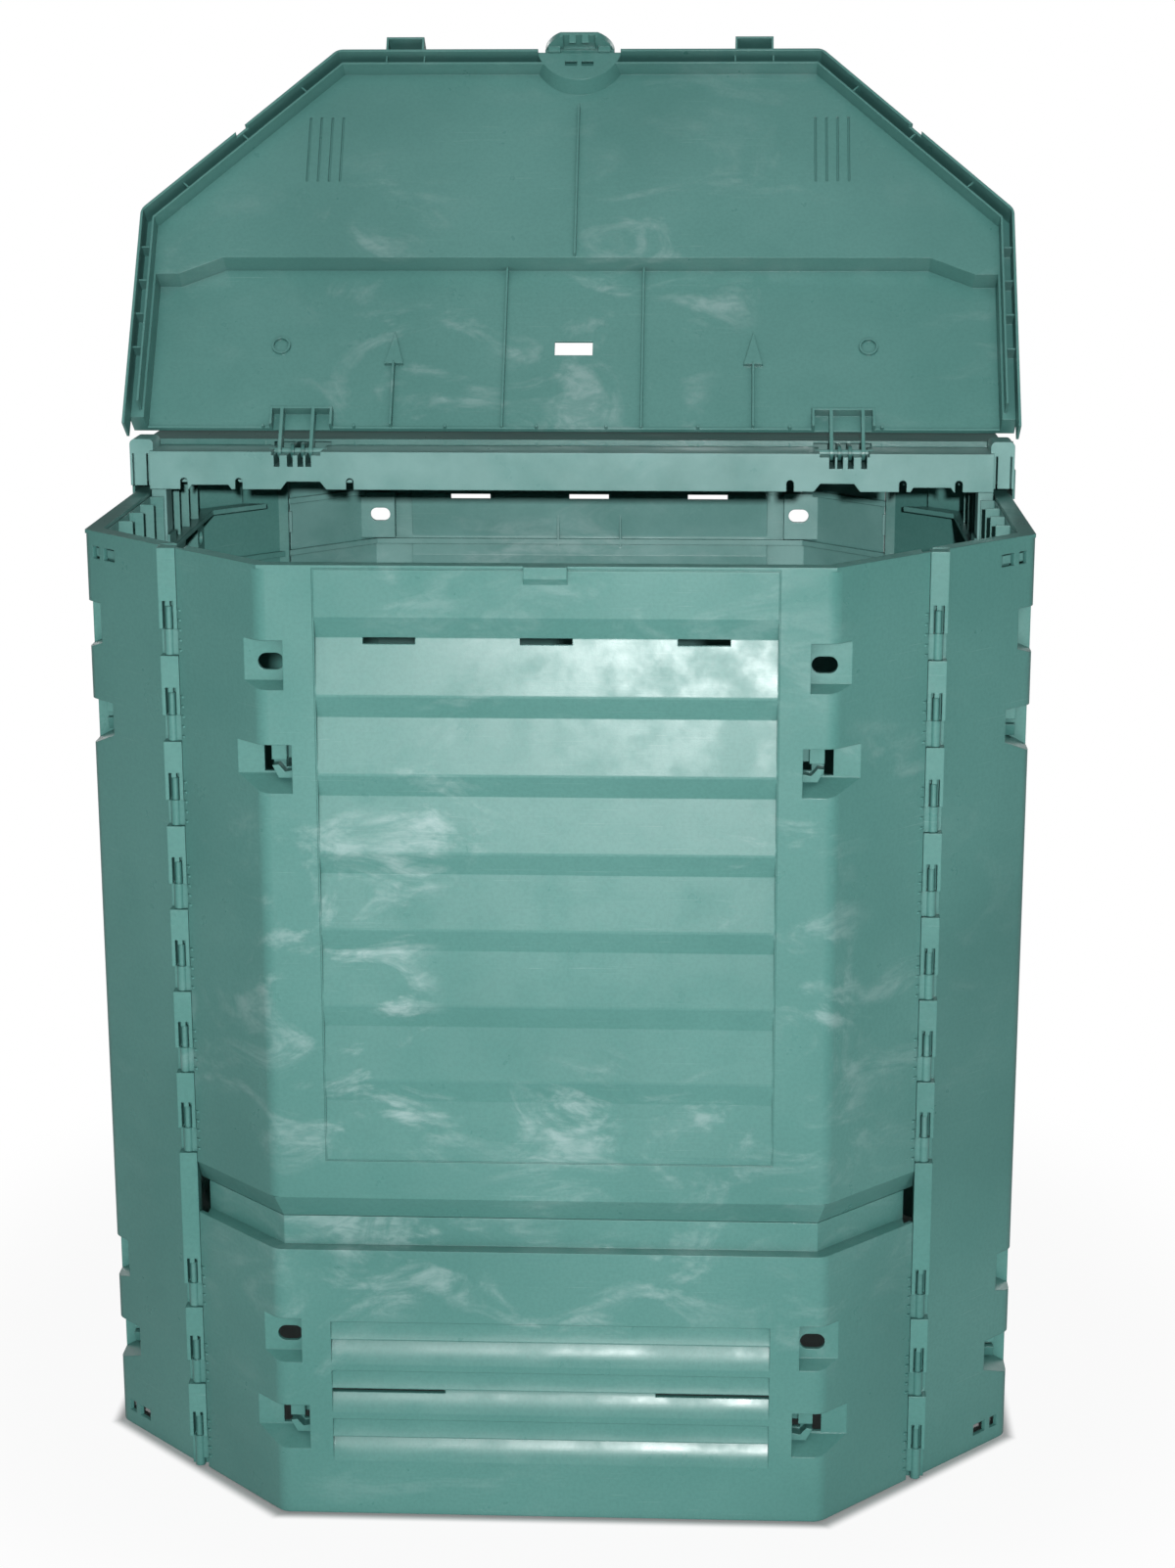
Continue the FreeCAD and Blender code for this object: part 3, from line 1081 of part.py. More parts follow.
def make_latch(label, is_front):
    """Sliding latch round the edge of the cup's floor: a grip, pads under the floor, a hood over its
    two holes and two snap hooks for the catch."""
    body = new_body(label)
    floor = "(ridge_gap - hinge_rise)"
    over = "(%s + lid_wall + jaw_gap)" % floor
    face = "(%s + overhang + jaw_gap + latch_travel)" % HALF
    grip = [("-grip_half", "-grip_top"), ("-grip_half", "-grip_side", "grip_round"),
            ("-grip_flat", "-grip_low"), ("grip_flat", "-grip_low", "grip_round"),
            ("grip_half", "-grip_side"), ("grip_half", "-grip_top")]
    prism(body, "grip", "XZ", [grip], "-grip_out", "grip_out - " + face)
    upper = box_loop("-grip_half", "grip_half", "-%s - jaw_gap" % face,
                     "-eyelet_at - eyelet_long - latch_travel")
    prism(body, "upper_jaw", "XY", [upper], over, "jaw")
    side = "(eyelet_from + eyelet_wide + jaw_gap)"
    hood = box_loop("-%s - hood_wall" % side, side + " + hood_wall",
                    "-eyelet_at - eyelet_long - 2 * latch_travel", "hood_reach + hood_wall - eyelet_at")
    prism(body, "hood", "XY", [hood], over, "hood_tall")
    hollow = box_loop("-" + side, side, "-eyelet_at - eyelet_long - latch_travel",
                      "hood_reach - eyelet_at")
    prism(body, "hood_hollow", "XY", [hollow], over + " - past", "hood_tall - hood_wall + past", cut=True)
    pad = box_loop("catch_half + 2 * play", "grip_half - pad_short", "-%s - jaw_gap" % face,
                   "-%s - latch_travel - jaw_gap" % HALF)
    prism(body, "lower_pads", "XY", both_sides(pad), "%s - jaw_gap - jaw" % floor, "jaw")
    recess = box_loop("-recess_half", "recess_half", "-grip_low - past", "-recess_top")
    prism(body, "recess", "XZ", [recess], "-%s - recess_deep" % face, "recess_deep + past", cut=True)
    root = "-%s - recess_deep - jaw_gap" % face
    tip = "-%s - play - latch_travel" % HALF
    catch = "(-hinge_rise - catch_tall - play)"
    hook = [(root, catch), (root, "-grip_low"), (tip, catch + " - hook / 2"), (tip, catch)]
    for side, start in (("right", "finger_from"), ("left", "-finger_from - finger_wide")):
        prism(body, "hook_" + side, "YZ", [hook], start, "finger_wide")
    place_on_hinge(body, is_front)
    return body


front_upper_panel = make_upper_panel("front_upper_panel", 0)
front_hatch = make_hatch("front_hatch", 0)
left_side_panel = make_side_panel("left_side_panel", -90)
left_rim_frame = make_rim_frame("left_rim_frame", -90)
pieces = [
    front_upper_panel,
    make_twin("rear_upper_panel", front_upper_panel, 180),
    front_hatch,
    make_twin("rear_hatch", front_hatch, 180),
    left_side_panel,
    make_twin("right_side_panel", left_side_panel, 90),
    left_rim_frame,
    make_twin("right_rim_frame", left_rim_frame, 90),
    make_beam("centre_beam"),
    make_hinge_pin("hinge_pin_left", -1),
    make_hinge_pin("hinge_pin_right", 1),
    make_lid("front_lid", True, FRONT_FINS),
    make_lid("rear_lid", False, REAR_FINS),
    make_latch("front_lid_latch", True),
    make_latch("rear_lid_latch", False),
]
doc.recompute()

for made in doc.Objects:
    if "Invalid" in made.State or "Error" in made.State:
        raise RuntimeError("%s did not compute" % made.Name)
for piece in pieces:
    if piece.Shape.isNull() or not piece.Shape.isValid():
        raise RuntimeError("%s has no valid shape" % piece.Label)

os.makedirs("parts", exist_ok=True)
for piece in pieces:
    piece.Shape.exportStep("parts/%s.step" % piece.Label)
    print(piece.Label, len(piece.Shape.Solids), round(piece.Shape.Volume / 1000), "cm3")
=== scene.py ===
"""Looks for the eight-sided compost bin: moulded plastic on every piece, seam teeth, stage and camera."""
import collections
import math

import bpy
from mathutils import Matrix, Vector


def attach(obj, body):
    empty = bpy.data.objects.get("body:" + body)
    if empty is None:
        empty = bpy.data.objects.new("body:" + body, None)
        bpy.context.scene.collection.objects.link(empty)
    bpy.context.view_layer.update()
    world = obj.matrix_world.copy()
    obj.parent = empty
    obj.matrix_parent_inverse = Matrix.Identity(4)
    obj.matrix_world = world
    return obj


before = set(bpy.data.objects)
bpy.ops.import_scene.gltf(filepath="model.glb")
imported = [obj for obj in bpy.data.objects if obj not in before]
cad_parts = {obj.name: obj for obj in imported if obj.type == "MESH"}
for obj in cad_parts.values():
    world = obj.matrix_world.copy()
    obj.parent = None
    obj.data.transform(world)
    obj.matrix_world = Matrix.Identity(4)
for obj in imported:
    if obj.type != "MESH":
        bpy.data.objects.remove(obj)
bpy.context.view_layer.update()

bl_info = {
    "name": "Compost bin looks",
    "version": (1, 0, 0),
    "blender": (4, 5, 0),
    "location": "View3D > Sidebar > Bin",
    "description": "Finishes, small mouldings and stage for a garden compost bin",
    "category": "Object",
}

# Measures of the solids, in metres: height to the rim, half the width, x plus y along a slanted face,
# the x of the seams on it, and the distance from one seam knuckle to the next.
HEIGHT = 1.025
HALF_WIDTH = 0.4975
SLANT = 0.785
EDGE = 0.3825
UNIT_PITCH = 0.0905

# Wear and painted light of a piece: seed of its mottling, strength of the wipe marks, the heights between
# which they are strongest, and the share of an even paler tint, or of an even darker one where it is below
# zero; this tint is painted light on the rear panel and painted shade on the rear lid.
WearAndPaintedLight = collections.namedtuple("WearAndPaintedLight", "seed scuffs low high faded")
PIECES = {
    "front_upper_panel": WearAndPaintedLight(7.0, 0.85, 0.48, 0.78, 0.0),
    # Paler tint here is painted light: the inside of the rear panel is lit brighter.
    "rear_upper_panel": WearAndPaintedLight(23.0, 0.5, 0.42, 0.86, 0.34),
    "front_hatch": WearAndPaintedLight(3.0, 0.5, 0.24, 0.31, 0.0),
    "rear_hatch": WearAndPaintedLight(31.0, 0.4, 0.20, 0.30, 0.0),
    "left_side_panel": WearAndPaintedLight(12.0, 0.18, 0.3, 0.9, 0.0),
    "right_side_panel": WearAndPaintedLight(17.0, 0.22, 0.3, 0.9, 0.0),
    "front_lid": WearAndPaintedLight(41.0, 0.5, 1.10, 1.28, 0.06),
    # Darker tint here is painted shade: the open front lid shades the rear lid.
    "rear_lid": WearAndPaintedLight(47.0, 0.3, 1.0, 1.1, -0.35),
    "left_rim_frame": WearAndPaintedLight(5.0, 0.25, 0.9, 1.1, 0.06),
    "right_rim_frame": WearAndPaintedLight(9.0, 0.25, 0.9, 1.1, 0.06),
    "centre_beam": WearAndPaintedLight(14.0, 0.25, 0.9, 1.1, 0.42),
    "front_lid_latch": WearAndPaintedLight(19.0, 0.2, 1.2, 1.5, 0.0),
    "rear_lid_latch": WearAndPaintedLight(27.0, 0.2, 0.9, 1.1, 0.0),
}
PINS = ("hinge_pin_left", "hinge_pin_right")
PIN_WEAR_AND_PAINTED_LIGHT = WearAndPaintedLight(2.0, 0.2, 1.0, 1.1, 0.3)

# A noise pattern of the plastic, and the two levels between which it goes from nothing to full.
Pattern = collections.namedtuple("Pattern", "scale detail roughness distortion nothing full",
                                 defaults=(0.0, 1.0))
CLOUDS = Pattern(3.2, 4.0, 0.55, 0.0, 0.32, 0.68)
DEPTHS = Pattern(1.7, 2.0, 0.5, 0.0, 0.58, 0.28)
GRAIN = Pattern(260.0, 2.0, 0.6, 0.0, 0.35, 0.7)
SMEARS = Pattern(7.5, 9.0, 0.62, 1.1, 0.49, 0.68)
PATCHES = Pattern(4.2, 1.0, 0.4, 0.0, 0.40, 0.56)
BRUSH = Pattern(6.0, 6.0, 0.65, 0.8, 0.36, 0.60)
VEIL = Pattern(7.0, 4.0, 0.6, 0.0, 0.3, 0.7)
SCRATCHES = Pattern(6.0, 3.0, 0.6, 0.4, 0.66, 0.72)
DULLNESS = Pattern(18.0, 4.0, 0.6, 0.0, 0.3, 0.7)
WAVES = Pattern(9.0, 2.0, 0.5, 0.0)
PORES = Pattern(900.0, 2.0, 0.6, 0.0)

# Levels of the clouds between which scratches come in, and of the light in corners between which painted
# shade comes in.
SCRATCHED = (0.3, 0.8)
PAINTED_SHADE_LEVELS = (0.75, 0.25)

# Shift of a pattern along x, y and z for each unit of its seed; then the stretches of three patterns,
# and what is added to a piece's seed for them.
SEED_SHIFT = (1.0, 0.7, 1.3)
SMEAR_STRETCH, SMEAR_SEED = (1.0, 1.0, 2.0), 3
BRUSH_STRETCH, BRUSH_SEED = (5.0, 5.0, 13.0), 9
SCRATCH_STRETCH, SCRATCH_SEED = (2.0, 2.0, 240.0), 5

# Shares of the layers in the colour, painted shade in corners among them, least brush, and how the share of
# the even tint varies, which is painted light on the rear panel and painted shade on the rear lid.
CLOUD_SHARE = 0.45
DEPTH_SHARE = 0.3
GRAIN_SHARE = 0.12
MARK_SHARE = 0.62
SCRATCH_SHARE = 0.16
PAINTED_SHADE_SHARE = 0.6
FAINTEST_BRUSH = 0.35
VEIL_RANGE = (0.6, 1.4)

# Roughness: how far it goes below and above the clean plastic's, and what a full wipe mark adds.
SMOOTHER = 0.06
ROUGHER = 0.10
MARK_ROUGHNESS = 0.18

# Strength and depth of the relief, reach of the painted shade in corners, and samples of corners and edges.
WAVE_RELIEF = (0.12, 0.004)
PORE_RELIEF = (0.10, 0.0004)
SCRATCH_RELIEF = (0.05, 0.0005)
CORNER_REACH = 0.022
CORNER_SAMPLES = 6
EDGE_SAMPLES = 4

# Where wipe marks fade: over this height above and below their band, to this share, and between these
# distances from the middle, to that share.
BAND_FADE, BAND_LEAST = 0.14, 0.25
ASIDE_FADE, ASIDE_LEAST = (0.20, 0.34), 0.3

# Teeth: how far they sit in the panel at the seam and at its face, and the first one below its knuckle.
SEAM_SINK = 0.0005
TIP_SINK = 0.001
FACE_SINK = 0.002
FIRST_TOOTH = 0.012

# Rows of teeth: piece, body, turn, drop of the first knuckle below the rim, number of knuckles.
TEETH_ROWS = (("front_upper_panel_teeth", "bin", 0.0, 0.053, 7),
              ("rear_upper_panel_teeth", "bin", math.pi, 0.053, 7),
              ("front_hatch_teeth", "front_hatch", 0.0, 0.775, 3),
              ("rear_hatch_teeth", "rear_hatch", math.pi, 0.775, 3))

# Floor: half its width, where it gets pale outside the walls, and where it begins to turn plain white.
FLOOR_HALF = 12.0
WALL_FOOT = (0.500, 0.515)
SHADOW_START = 0.62

# Lights: name, place, what it looks at, width and the setting with its power.
MIDDLE = (0.0, 0.0, 0.75)
LIGHTS = (("key_light", (0.34, -5.0, 1.886), MIDDLE, 0.09, "key"),
          ("top_light", (0.0, -1.0, 4.2), (0.0, -0.2, 0.0), 3.0, "top"),
          ("rear_left_light", (-3.2, 4.2, 2.6), MIDDLE, 2.0, "rear"),
          ("rear_right_light", (3.2, 4.2, 2.6), MIDDLE, 2.0, "rear"))
WHITE = (1, 1, 1, 1)

# Places of the colour sockets in Blender's mix node: the two that go in and the one that comes out.
MIX_FIRST, MIX_SECOND, MIX_RESULT = 6, 7, 2

# Camera: place, yaw, pitch and roll in degrees, lens and height of the picture in millimetres.
CAMERA_PLACE = (0.1646, -3.2878, 1.5053)
CAMERA_TURN = (-2.54, 14.07, -0.12)
CAMERA_LENS = 66.33
CAMERA_SENSOR = 36.0
CAMERA_FAR = 60


def srgb(*channels):
    """Linear colour with alpha from 0-255 screen values."""
    out = []
    for channel in channels:
        share = channel / 255
        out.append(share / 12.92 if share <= 0.04045 else ((share + 0.055) / 1.055) ** 2.4)
    return tuple(out) + (1.0,)


def colour_property(name, description, channels):
    """Setting for a colour, given as 0-255 screen values."""
    return bpy.props.FloatVectorProperty(name=name, description=description, subtype="COLOR", size=4,
                                         min=0, max=1, default=srgb(*channels))


class BinFinish(bpy.types.PropertyGroup):
    """Colours of the plastic, its wear marks, and its painted shade and painted light."""
    body: colour_property("Body", "Plain colour of the plastic", (86, 142, 135))
    # Also the colour of the painted shade in corners and on the rear lid.
    shade: colour_property("Shade", "Darker mottling and grime", (48, 96, 92))
    bloom: colour_property("Bloom", "Paler mottling of the plastic", (106, 160, 153))
    dust: colour_property("Dust", "Wipe marks and scuffs", (206, 226, 226))
    # Even paler tint of single pieces; on the rear panel it is painted light.
    pale: colour_property("Faded", "Even fading of single pieces", (158, 206, 202))
    roughness: bpy.props.FloatProperty(name="Roughness", description="Roughness of clean plastic",
                                       default=0.33, min=0, max=1, subtype="FACTOR")
    edge: bpy.props.FloatProperty(name="Edge radius", description="Softness of the moulded edges",
                                  default=0.0016, min=0, max=0.01, unit="LENGTH")


class BinTeeth(bpy.types.PropertyGroup):
    """Sizes of the small teeth beside the seam knuckles."""
    reach: bpy.props.FloatProperty(name="Reach", description="Length of a tooth along the panel's edge",
                                   default=0.0045, unit="LENGTH")
    thick: bpy.props.FloatProperty(name="Thickness", description="Thickness of a tooth",
                                   default=0.0026, unit="LENGTH")
    proud: bpy.props.FloatProperty(name="Height", description="How far a tooth stands off the panel",
                                   default=0.0022, unit="LENGTH")
    pitch: bpy.props.FloatProperty(name="Pitch", description="Tooth to tooth",
                                   default=0.0105, unit="LENGTH")
    per_knuckle: bpy.props.IntProperty(name="Teeth", description="Teeth beside each knuckle", default=5,
                                       min=1)


class BinStage(bpy.types.PropertyGroup):
    """Light levels and floor."""
    key: bpy.props.FloatProperty(name="Key light", description="Power of the light over the camera",
                                 default=200, unit="POWER")
    top: bpy.props.FloatProperty(name="Top light", description="Power of the wide light overhead",
                                 default=6, unit="POWER")
    rear: bpy.props.FloatProperty(name="Rear lights", description="Power of each light behind the bin",
                                  default=60, unit="POWER")
    sky: bpy.props.FloatProperty(name="Surroundings", description="Strength of the even light",
                                 default=0.09, min=0)
    paper: bpy.props.FloatProperty(name="Plain floor", description="How far the floor fades to plain white",
                                   default=0.93, min=0, max=1, subtype="FACTOR")
    near: bpy.props.FloatProperty(name="Shadow reach", description="Floor farther out than this is white",
                                  default=1.05, unit="LENGTH")
    floor: colour_property("Floor", "Colour of the floor", (212, 212, 212))


class Graph:
    """Short calls that add and wire shader nodes."""

    def __init__(self, name):
        self.material = bpy.data.materials.new(name)
        self.material.use_nodes = True
        self.tree = self.material.node_tree
        self.tree.nodes.clear()
        self.output = self.tree.nodes.new("ShaderNodeOutputMaterial")

    def node(self, kind, **settings):
        """Adds a node with some of its settings."""
        made = self.tree.nodes.new(kind)
        for key, value in settings.items():
            setattr(made, key, value)
        return made

    def wire(self, source, target):
        """Links an output to an input."""
        self.tree.links.new(source, target)

    def put(self, target, value):
        """Gives a socket a constant, or wires another socket to it."""
        if isinstance(value, bpy.types.NodeSocket):
            self.wire(value, target)
        else:
            target.default_value = value

    def place(self, stretch=(1, 1, 1), shift=0.0):
        """Object coordinates in metres, stretched and shifted."""
        coordinates = self.node("ShaderNodeTexCoord")
        mapping = self.node("ShaderNodeMapping")
        mapping.inputs["Scale"].default_value = stretch
        mapping.inputs["Location"].default_value = [shift * share for share in SEED_SHIFT]
        self.wire(coordinates.outputs["Object"], mapping.inputs["Vector"])
        return mapping.outputs["Vector"]

    def noise(self, vector, pattern):
        """Level of a pattern's noise."""
        made = self.node("ShaderNodeTexNoise")
        self.wire(vector, made.inputs["Vector"])
        made.inputs["Scale"].default_value = pattern.scale
        made.inputs["Detail"].default_value = pattern.detail
        made.inputs["Roughness"].default_value = pattern.roughness
        made.inputs["Distortion"].default_value = pattern.distortion
        return made.outputs["Fac"]

    def layer(self, vector, pattern, least=0.0, most=1.0):
        """A pattern's noise, rescaled from its own two levels."""
        return self.span(self.noise(vector, pattern), pattern.nothing, pattern.full, least, most)

    def span(self, value, low, high, to_low=0.0, to_high=1.0):
        """Rescales a value smoothly from one range to another."""
        made = self.node("ShaderNodeMapRange", interpolation_type="SMOOTHSTEP")
        self.wire(value, made.inputs["Value"])
        for key, number in (("From Min", low), ("From Max", high), ("To Min", to_low), ("To Max", to_high)):
            made.inputs[key].default_value = number
        return made.outputs["Result"]

    def band(self, low, high):
        """1 between two heights in the middle of a panel, fading beyond them and towards its edges."""
        coordinates = self.node("ShaderNodeTexCoord")
        parts = self.node("ShaderNodeSeparateXYZ")
        self.wire(coordinates.outputs["Object"], parts.inputs[0])
        aside = self.node("ShaderNodeMath", operation="ABSOLUTE")
        self.wire(parts.outputs["X"], aside.inputs[0])
        level = self.times(self.span(parts.outputs["Z"], low - BAND_FADE, low, BAND_LEAST, 1.0),
                           self.span(parts.outputs["Z"], high, high + BAND_FADE, 1.0, BAND_LEAST))
        return self.times(level, self.span(aside.outputs[0], *ASIDE_FADE, 1.0, ASIDE_LEAST))

    def times(self, first, second):
        """Product of two values or sockets."""
        made = self.node("ShaderNodeMath", operation="MULTIPLY")
        self.put(made.inputs[0], first)
        self.put(made.inputs[1], second)
        return made.outputs[0]

    def blend(self, share, first, second):
        """Colour between two, by share."""
        made = self.node("ShaderNodeMix", data_type="RGBA")
        self.put(made.inputs[0], share)
        self.put(made.inputs[MIX_FIRST], first)
        self.put(made.inputs[MIX_SECOND], second)
        return made.outputs[MIX_RESULT]

    def bump(self, height, strength, distance, normal):
        """Relief from a height, on top of another normal."""
        made = self.node("ShaderNodeBump")
        made.inputs["Strength"].default_value = strength
        made.inputs["Distance"].default_value = distance
        self.wire(height, made.inputs["Height"])
        self.wire(normal, made.inputs["Normal"])
        return made.outputs["Normal"]

    def surface(self, **values):
        """The shader itself: constants and sockets by their names, with _ for a space."""
        shader = self.node("ShaderNodeBsdfPrincipled")
        for key, value in values.items():
            self.put(shader.inputs[key.replace("_", " ")], value)
        self.wire(shader.outputs[0], self.output.inputs["Surface"])
        return self.material


def wipe_marks(graph, plain, wear_and_painted_light):
    """Share of hazy wipe marks, in patches and along the brush's way."""
    smear = graph.layer(graph.place(SMEAR_STRETCH, wear_and_painted_light.seed + SMEAR_SEED), SMEARS)
    brush = graph.layer(graph.place(BRUSH_STRETCH, wear_and_painted_light.seed + BRUSH_SEED), BRUSH, FAINTEST_BRUSH)
    marks = graph.times(graph.times(smear, brush), graph.layer(plain, PATCHES))
    return graph.times(marks, graph.times(graph.band(wear_and_painted_light.low, wear_and_painted_light.high), wear_and_painted_light.scuffs))


def moulded_plastic(name, wear_and_painted_light):
    """Satin green plastic: cloudy mottling, hazy wipe marks, scratches, painted shade in corners, and an even
    tint that is painted light on the rear panel and painted shade on the rear lid.
    """
    look = bpy.context.scene.bin_finish
    body, shade, bloom, dust, pale = (tuple(colour) for colour in (look.body, look.shade, look.bloom,
                                                                   look.dust, look.pale))
    graph = Graph(name)
    plain = graph.place(shift=wear_and_painted_light.seed)
    cloud = graph.layer(plain, CLOUDS)
    marks = wipe_marks(graph, plain, wear_and_painted_light)
    scratch = graph.noise(graph.place(SCRATCH_STRETCH, wear_and_painted_light.seed + SCRATCH_SEED), SCRATCHES)
    scratches = graph.times(graph.span(scratch, SCRATCHES.nothing, SCRATCHES.full),
                            graph.span(cloud, *SCRATCHED))
    tint_and_painted_light_share = abs(wear_and_painted_light.faded)
    veil = graph.layer(plain, VEIL, *(tint_and_painted_light_share * share for share in VEIL_RANGE))
    # Painted shade: ambient occlusion darkens corners and creases towards the shade colour.
    corners = graph.node("ShaderNodeAmbientOcclusion", samples=CORNER_SAMPLES)
    corners.inputs["Distance"].default_value = CORNER_REACH
    painted_corner_shade = graph.span(corners.outputs["AO"], *PAINTED_SHADE_LEVELS)
    tint = body
    for share, colour in ((graph.times(cloud, CLOUD_SHARE), bloom),
                          (graph.times(graph.layer(plain, DEPTHS), DEPTH_SHARE), shade),
                          (graph.times(graph.layer(plain, GRAIN), GRAIN_SHARE), shade),
                          (graph.times(marks, MARK_SHARE), dust),
                          # Even tint: painted light on the rear panel, painted shade on the rear lid.
                          (veil, pale if wear_and_painted_light.faded > 0 else shade),
                          (graph.times(scratches, SCRATCH_SHARE), dust),
                          (graph.times(painted_corner_shade, PAINTED_SHADE_SHARE), shade)):
        tint = graph.blend(share, tint, colour)
    dull = graph.node("ShaderNodeMath", operation="ADD", use_clamp=True)
    graph.wire(graph.layer(plain, DULLNESS, look.roughness - SMOOTHER, look.roughness + ROUGHER),
               dull.inputs[0])
    graph.wire(graph.times(marks, MARK_ROUGHNESS), dull.inputs[1])
    soft = graph.node("ShaderNodeBevel", samples=EDGE_SAMPLES)
    soft.inputs["Radius"].default_value = look.edge
    waves = graph.bump(graph.noise(plain, WAVES), *WAVE_RELIEF, soft.outputs["Normal"])
    pores = graph.bump(graph.noise(plain, PORES), *PORE_RELIEF, waves)
    lines = graph.bump(scratch, *SCRATCH_RELIEF, pores)
    return graph.surface(Base_Color=tint, Roughness=dull.outputs[0], Normal=lines, IOR=1.47,
                         Specular_IOR_Level=0.5)


def paint(node_name, material):
    """Puts a material in all of a CAD node's slots."""
    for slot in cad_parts[node_name].material_slots:
        slot.material = material


def solid_from_prisms(name, prisms):
    """One mesh from closed prisms; each is (lower outline, upper outline) of equal point lists."""
    points = []
    faces = []
    for low, high in prisms:
        first = len(points)
        count = len(low)
        points += list(low) + list(high)
        faces.append(tuple(first + i for i in reversed(range(count))))
        faces.append(tuple(first + count + i for i in range(count)))
        for i in range(count):
            j = (i + 1) % count
            faces.append((first + i, first + j, first + count + j, first + count + i))
    mesh = bpy.data.meshes.new(name)
    mesh.from_pydata([tuple(p) for p in points], [], faces)
    mesh.validate()
    piece = bpy.data.objects.new(name, mesh)
    bpy.context.scene.collection.objects.link(piece)
    return piece


def tooth(side, turn, level, sizes):
    """A small pointed tooth on the panel's edge, on one side, at one level."""
    seat = EDGE - SEAM_SINK
    face = SLANT - seat
    outline = [(seat - sizes.reach, -(face + sizes.reach) + TIP_SINK), (seat, -face + FACE_SINK),
               (seat, -face - sizes.proud), (seat - sizes.reach / 2, -(face + sizes.reach / 2) - sizes.proud)]
    low = []
    high = []
    for x, y in outline[::-side]:
        place = Vector((side * x, y, 0))
        place.rotate(Matrix.Rotation(turn, 3, "Z"))
        low.append(place + Vector((0, 0, level)))
        high.append(place + Vector((0, 0, level + sizes.thick)))
    return (low, high)


def teeth_up_a_panel(name, body, turn, drop, count, material):
    """A row of teeth beside each knuckle and its slot, up both edges of one panel."""
    sizes = bpy.context.scene.bin_teeth
    prisms = []
    for rank in range(count):
        top = HEIGHT - drop - UNIT_PITCH * rank
        for step in range(sizes.per_knuckle):
            for side in (-1, 1):
                prisms.append(tooth(side, turn, top - FIRST_TOOTH - sizes.pitch * step, sizes))
    piece = solid_from_prisms(name, prisms)
    piece.data.materials.append(material)
    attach(piece, body)


class BIN_OT_plastic(bpy.types.Operator):
    """Gives every moulded piece its own weathered green plastic, with painted shade in its corners"""
    bl_idname = "bin.plastic"
    bl_label = "Plastic"

    def execute(self, context):
        for node_name, wear_and_painted_light in PIECES.items():
            paint(node_name, moulded_plastic(node_name + "_plastic", wear_and_painted_light))
        pin_plastic = moulded_plastic("hinge_pin_plastic", PIN_WEAR_AND_PAINTED_LIGHT)
        for node_name in PINS:
            paint(node_name, pin_plastic)
        return {"FINISHED"}


class BIN_OT_teeth(bpy.types.Operator):
    """Adds the small teeth beside the seam knuckles"""
    bl_idname = "bin.teeth"
    bl_label = "Seam teeth"

    def execute(self, context):
        for name, body, turn, drop, count in TEETH_ROWS:
            material = bpy.data.materials[name.replace("_teeth", "_plastic")]
            teeth_up_a_panel(name, body, turn, drop, count, material)
        return {"FINISHED"}


def eight_sided_reach(graph, place):
    """Distance from the middle, measured so that it is half the width all along the bin's outline."""
    absolute = graph.node("ShaderNodeVectorMath", operation="ABSOLUTE")
    graph.wire(place, absolute.inputs[0])
    parts = graph.node("ShaderNodeSeparateXYZ")
    graph.wire(absolute.outputs[0], parts.inputs[0])
    both = graph.node("ShaderNodeMath", operation="ADD")
    graph.wire(parts.outputs["X"], both.inputs[0])
    graph.wire(parts.outputs["Y"], both.inputs[1])
    square = graph.node("ShaderNodeMath", operation="MAXIMUM")
    graph.wire(parts.outputs["X"], square.inputs[0])
    graph.wire(parts.outputs["Y"], square.inputs[1])
    made = graph.node("ShaderNodeMath", operation="MAXIMUM")
    graph.wire(square.outputs[0], made.inputs[0])
    graph.wire(graph.times(both.outputs[0], HALF_WIDTH / SLANT), made.inputs[1])
    return made.outputs[0]


def floor_paint(levels):
    """Plain floor that keeps the shadows near the bin and is plain white for the camera farther out."""
    graph = Graph("floor_paint")
    paper = graph.node("ShaderNodeBsdfDiffuse")
    paper.inputs["Color"].default_value = tuple(levels.floor)
    white = graph.node("ShaderNodeEmission")
    white.inputs["Color"].default_value = WHITE
    coordinates = graph.node("ShaderNodeTexCoord")
    length = graph.node("ShaderNodeVectorMath", operation="LENGTH")
    graph.wire(coordinates.outputs["Object"], length.inputs[0])
    outside = graph.span(eight_sided_reach(graph, coordinates.outputs["Object"]), *WALL_FOOT)
    distance = length.outputs["Value"]
    far = graph.times(outside, graph.span(distance, SHADOW_START, levels.near, levels.paper, 1.0))
    path = graph.node("ShaderNodeLightPath")
    mix = graph.node("ShaderNodeMixShader")
    graph.wire(graph.times(far, path.outputs["Is Camera Ray"]), mix.inputs[0])
    graph.wire(paper.outputs[0], mix.inputs[1])
    graph.wire(white.outputs[0], mix.inputs[2])
    graph.wire(mix.outputs[0], graph.output.inputs["Surface"])
    return graph.material


def area_light(name, place, target, size, power):
    """A square soft light that looks at a point."""
    lamp = bpy.data.lights.new(name, "AREA")
    lamp.shape = "SQUARE"
    lamp.size = size
    lamp.energy = power
    holder = bpy.data.objects.new(name, lamp)
    holder.location = place
    holder.rotation_euler = (Vector(target) - Vector(place)).to_track_quat("-Z", "Y").to_euler()
    bpy.context.scene.collection.objects.link(holder)


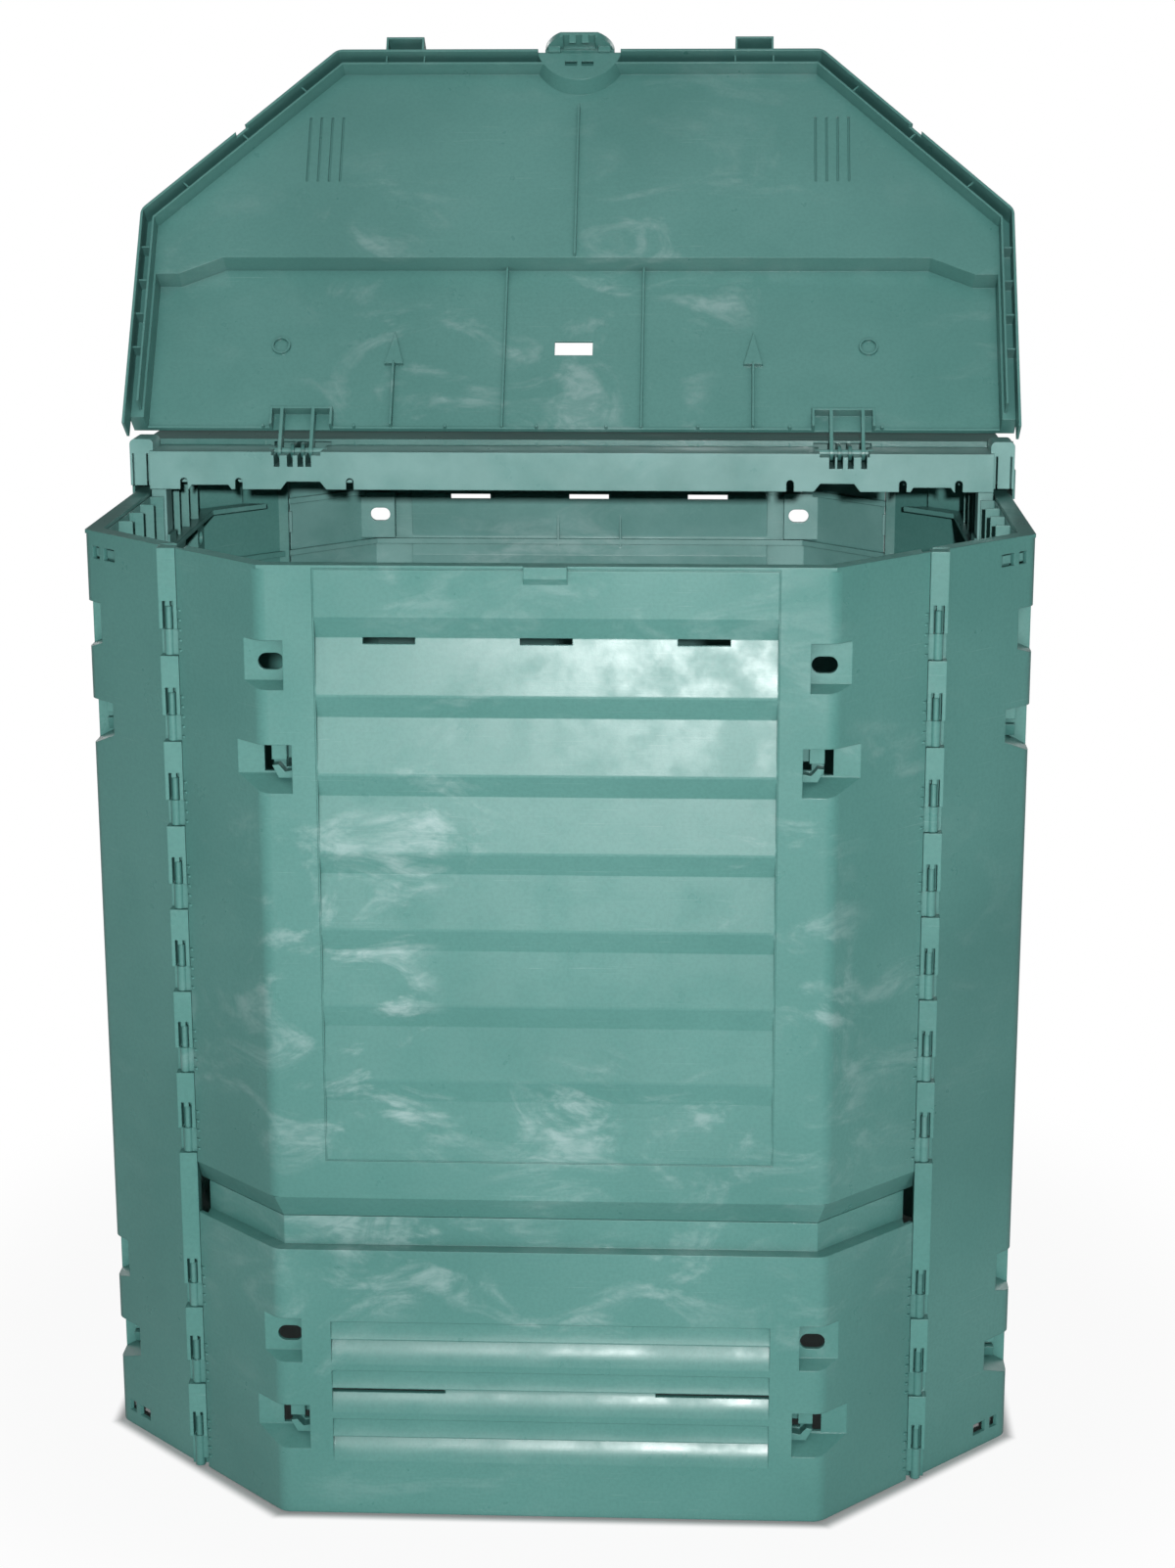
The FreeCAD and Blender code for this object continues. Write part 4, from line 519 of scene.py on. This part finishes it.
class BIN_OT_stage(bpy.types.Operator):
    """Sets up the floor, the soft light and the camera"""
    bl_idname = "bin.stage"
    bl_label = "Stage"

    def execute(self, context):
        scene = context.scene
        levels = scene.bin_stage
        self.add_floor(scene, levels)
        self.add_surroundings(scene, levels)
        for name, place, target, size, level in LIGHTS:
            area_light(name, place, target, size, getattr(levels, level))
        self.add_camera(scene)
        scene.view_settings.view_transform = "Standard"
        return {"FINISHED"}

    def add_floor(self, scene, levels):
        """A wide plain floor at the bin's foot."""
        mesh = bpy.data.meshes.new("floor")
        corners = [(x * FLOOR_HALF, y * FLOOR_HALF, 0) for x, y in ((-1, -1), (1, -1), (1, 1), (-1, 1))]
        mesh.from_pydata(corners, [], [(0, 1, 2, 3)])
        floor = bpy.data.objects.new("floor", mesh)
        scene.collection.objects.link(floor)
        floor.data.materials.append(floor_paint(levels))

    def add_surroundings(self, scene, levels):
        """An even weak light that the camera sees as plain white."""
        world = bpy.data.worlds.new("surroundings")
        world.use_nodes = True
        scene.world = world
        background = world.node_tree.nodes["Background"]
        background.inputs["Color"].default_value = WHITE
        path = world.node_tree.nodes.new("ShaderNodeLightPath")
        strength = world.node_tree.nodes.new("ShaderNodeMapRange")
        strength.inputs["To Min"].default_value = levels.sky
        strength.inputs["To Max"].default_value = 1.0
        world.node_tree.links.new(path.outputs["Is Camera Ray"], strength.inputs["Value"])
        world.node_tree.links.new(strength.outputs["Result"], background.inputs["Strength"])

    def add_camera(self, scene):
        """Camera fitted to the bin's corners."""
        yaw, pitch, roll = (math.radians(angle) for angle in CAMERA_TURN)
        forward = Vector((math.sin(yaw) * math.cos(pitch), math.cos(yaw) * math.cos(pitch),
                          -math.sin(pitch)))
        right = Vector((math.cos(yaw), -math.sin(yaw), 0))
        up = right.cross(forward)
        basis = Matrix((right, up, -forward)).transposed()
        camera = bpy.data.cameras.new("camera")
        camera.sensor_fit = "VERTICAL"
        camera.sensor_height = CAMERA_SENSOR
        camera.lens = CAMERA_LENS
        camera.clip_end = CAMERA_FAR
        holder = bpy.data.objects.new("camera", camera)
        holder.matrix_world = (Matrix.Translation(CAMERA_PLACE) @ basis.to_4x4()
                               @ Matrix.Rotation(roll, 4, "Z"))
        scene.collection.objects.link(holder)
        scene.camera = holder


class BIN_PT_panel(bpy.types.Panel):
    """Lists the bin's settings and steps."""
    bl_idname = "BIN_PT_panel"
    bl_label = "Compost bin"
    bl_space_type = "VIEW_3D"
    bl_region_type = "UI"
    bl_category = "Bin"

    def draw(self, context):
        for group in (context.scene.bin_finish, context.scene.bin_teeth, context.scene.bin_stage):
            box = self.layout.box()
            for name in group.bl_rna.properties.keys():
                if name not in ("name", "rna_type"):
                    box.prop(group, name)
        for step in STEPS:
            self.layout.operator(step.bl_idname)


STEPS = (BIN_OT_plastic, BIN_OT_teeth, BIN_OT_stage)
CLASSES = (BinFinish, BinTeeth, BinStage) + STEPS + (BIN_PT_panel,)


def register():
    """Adds the settings, steps and panel."""
    for item in CLASSES:
        bpy.utils.register_class(item)
    bpy.types.Scene.bin_finish = bpy.props.PointerProperty(type=BinFinish)
    bpy.types.Scene.bin_teeth = bpy.props.PointerProperty(type=BinTeeth)
    bpy.types.Scene.bin_stage = bpy.props.PointerProperty(type=BinStage)


def unregister():
    """Takes them away again."""
    del bpy.types.Scene.bin_stage
    del bpy.types.Scene.bin_teeth
    del bpy.types.Scene.bin_finish
    for item in reversed(CLASSES):
        bpy.utils.unregister_class(item)


def main():
    """Runs every step."""
    register()
    bpy.ops.bin.plastic()
    bpy.ops.bin.teeth()
    bpy.ops.bin.stage()


if __name__ == "__main__":
    main()
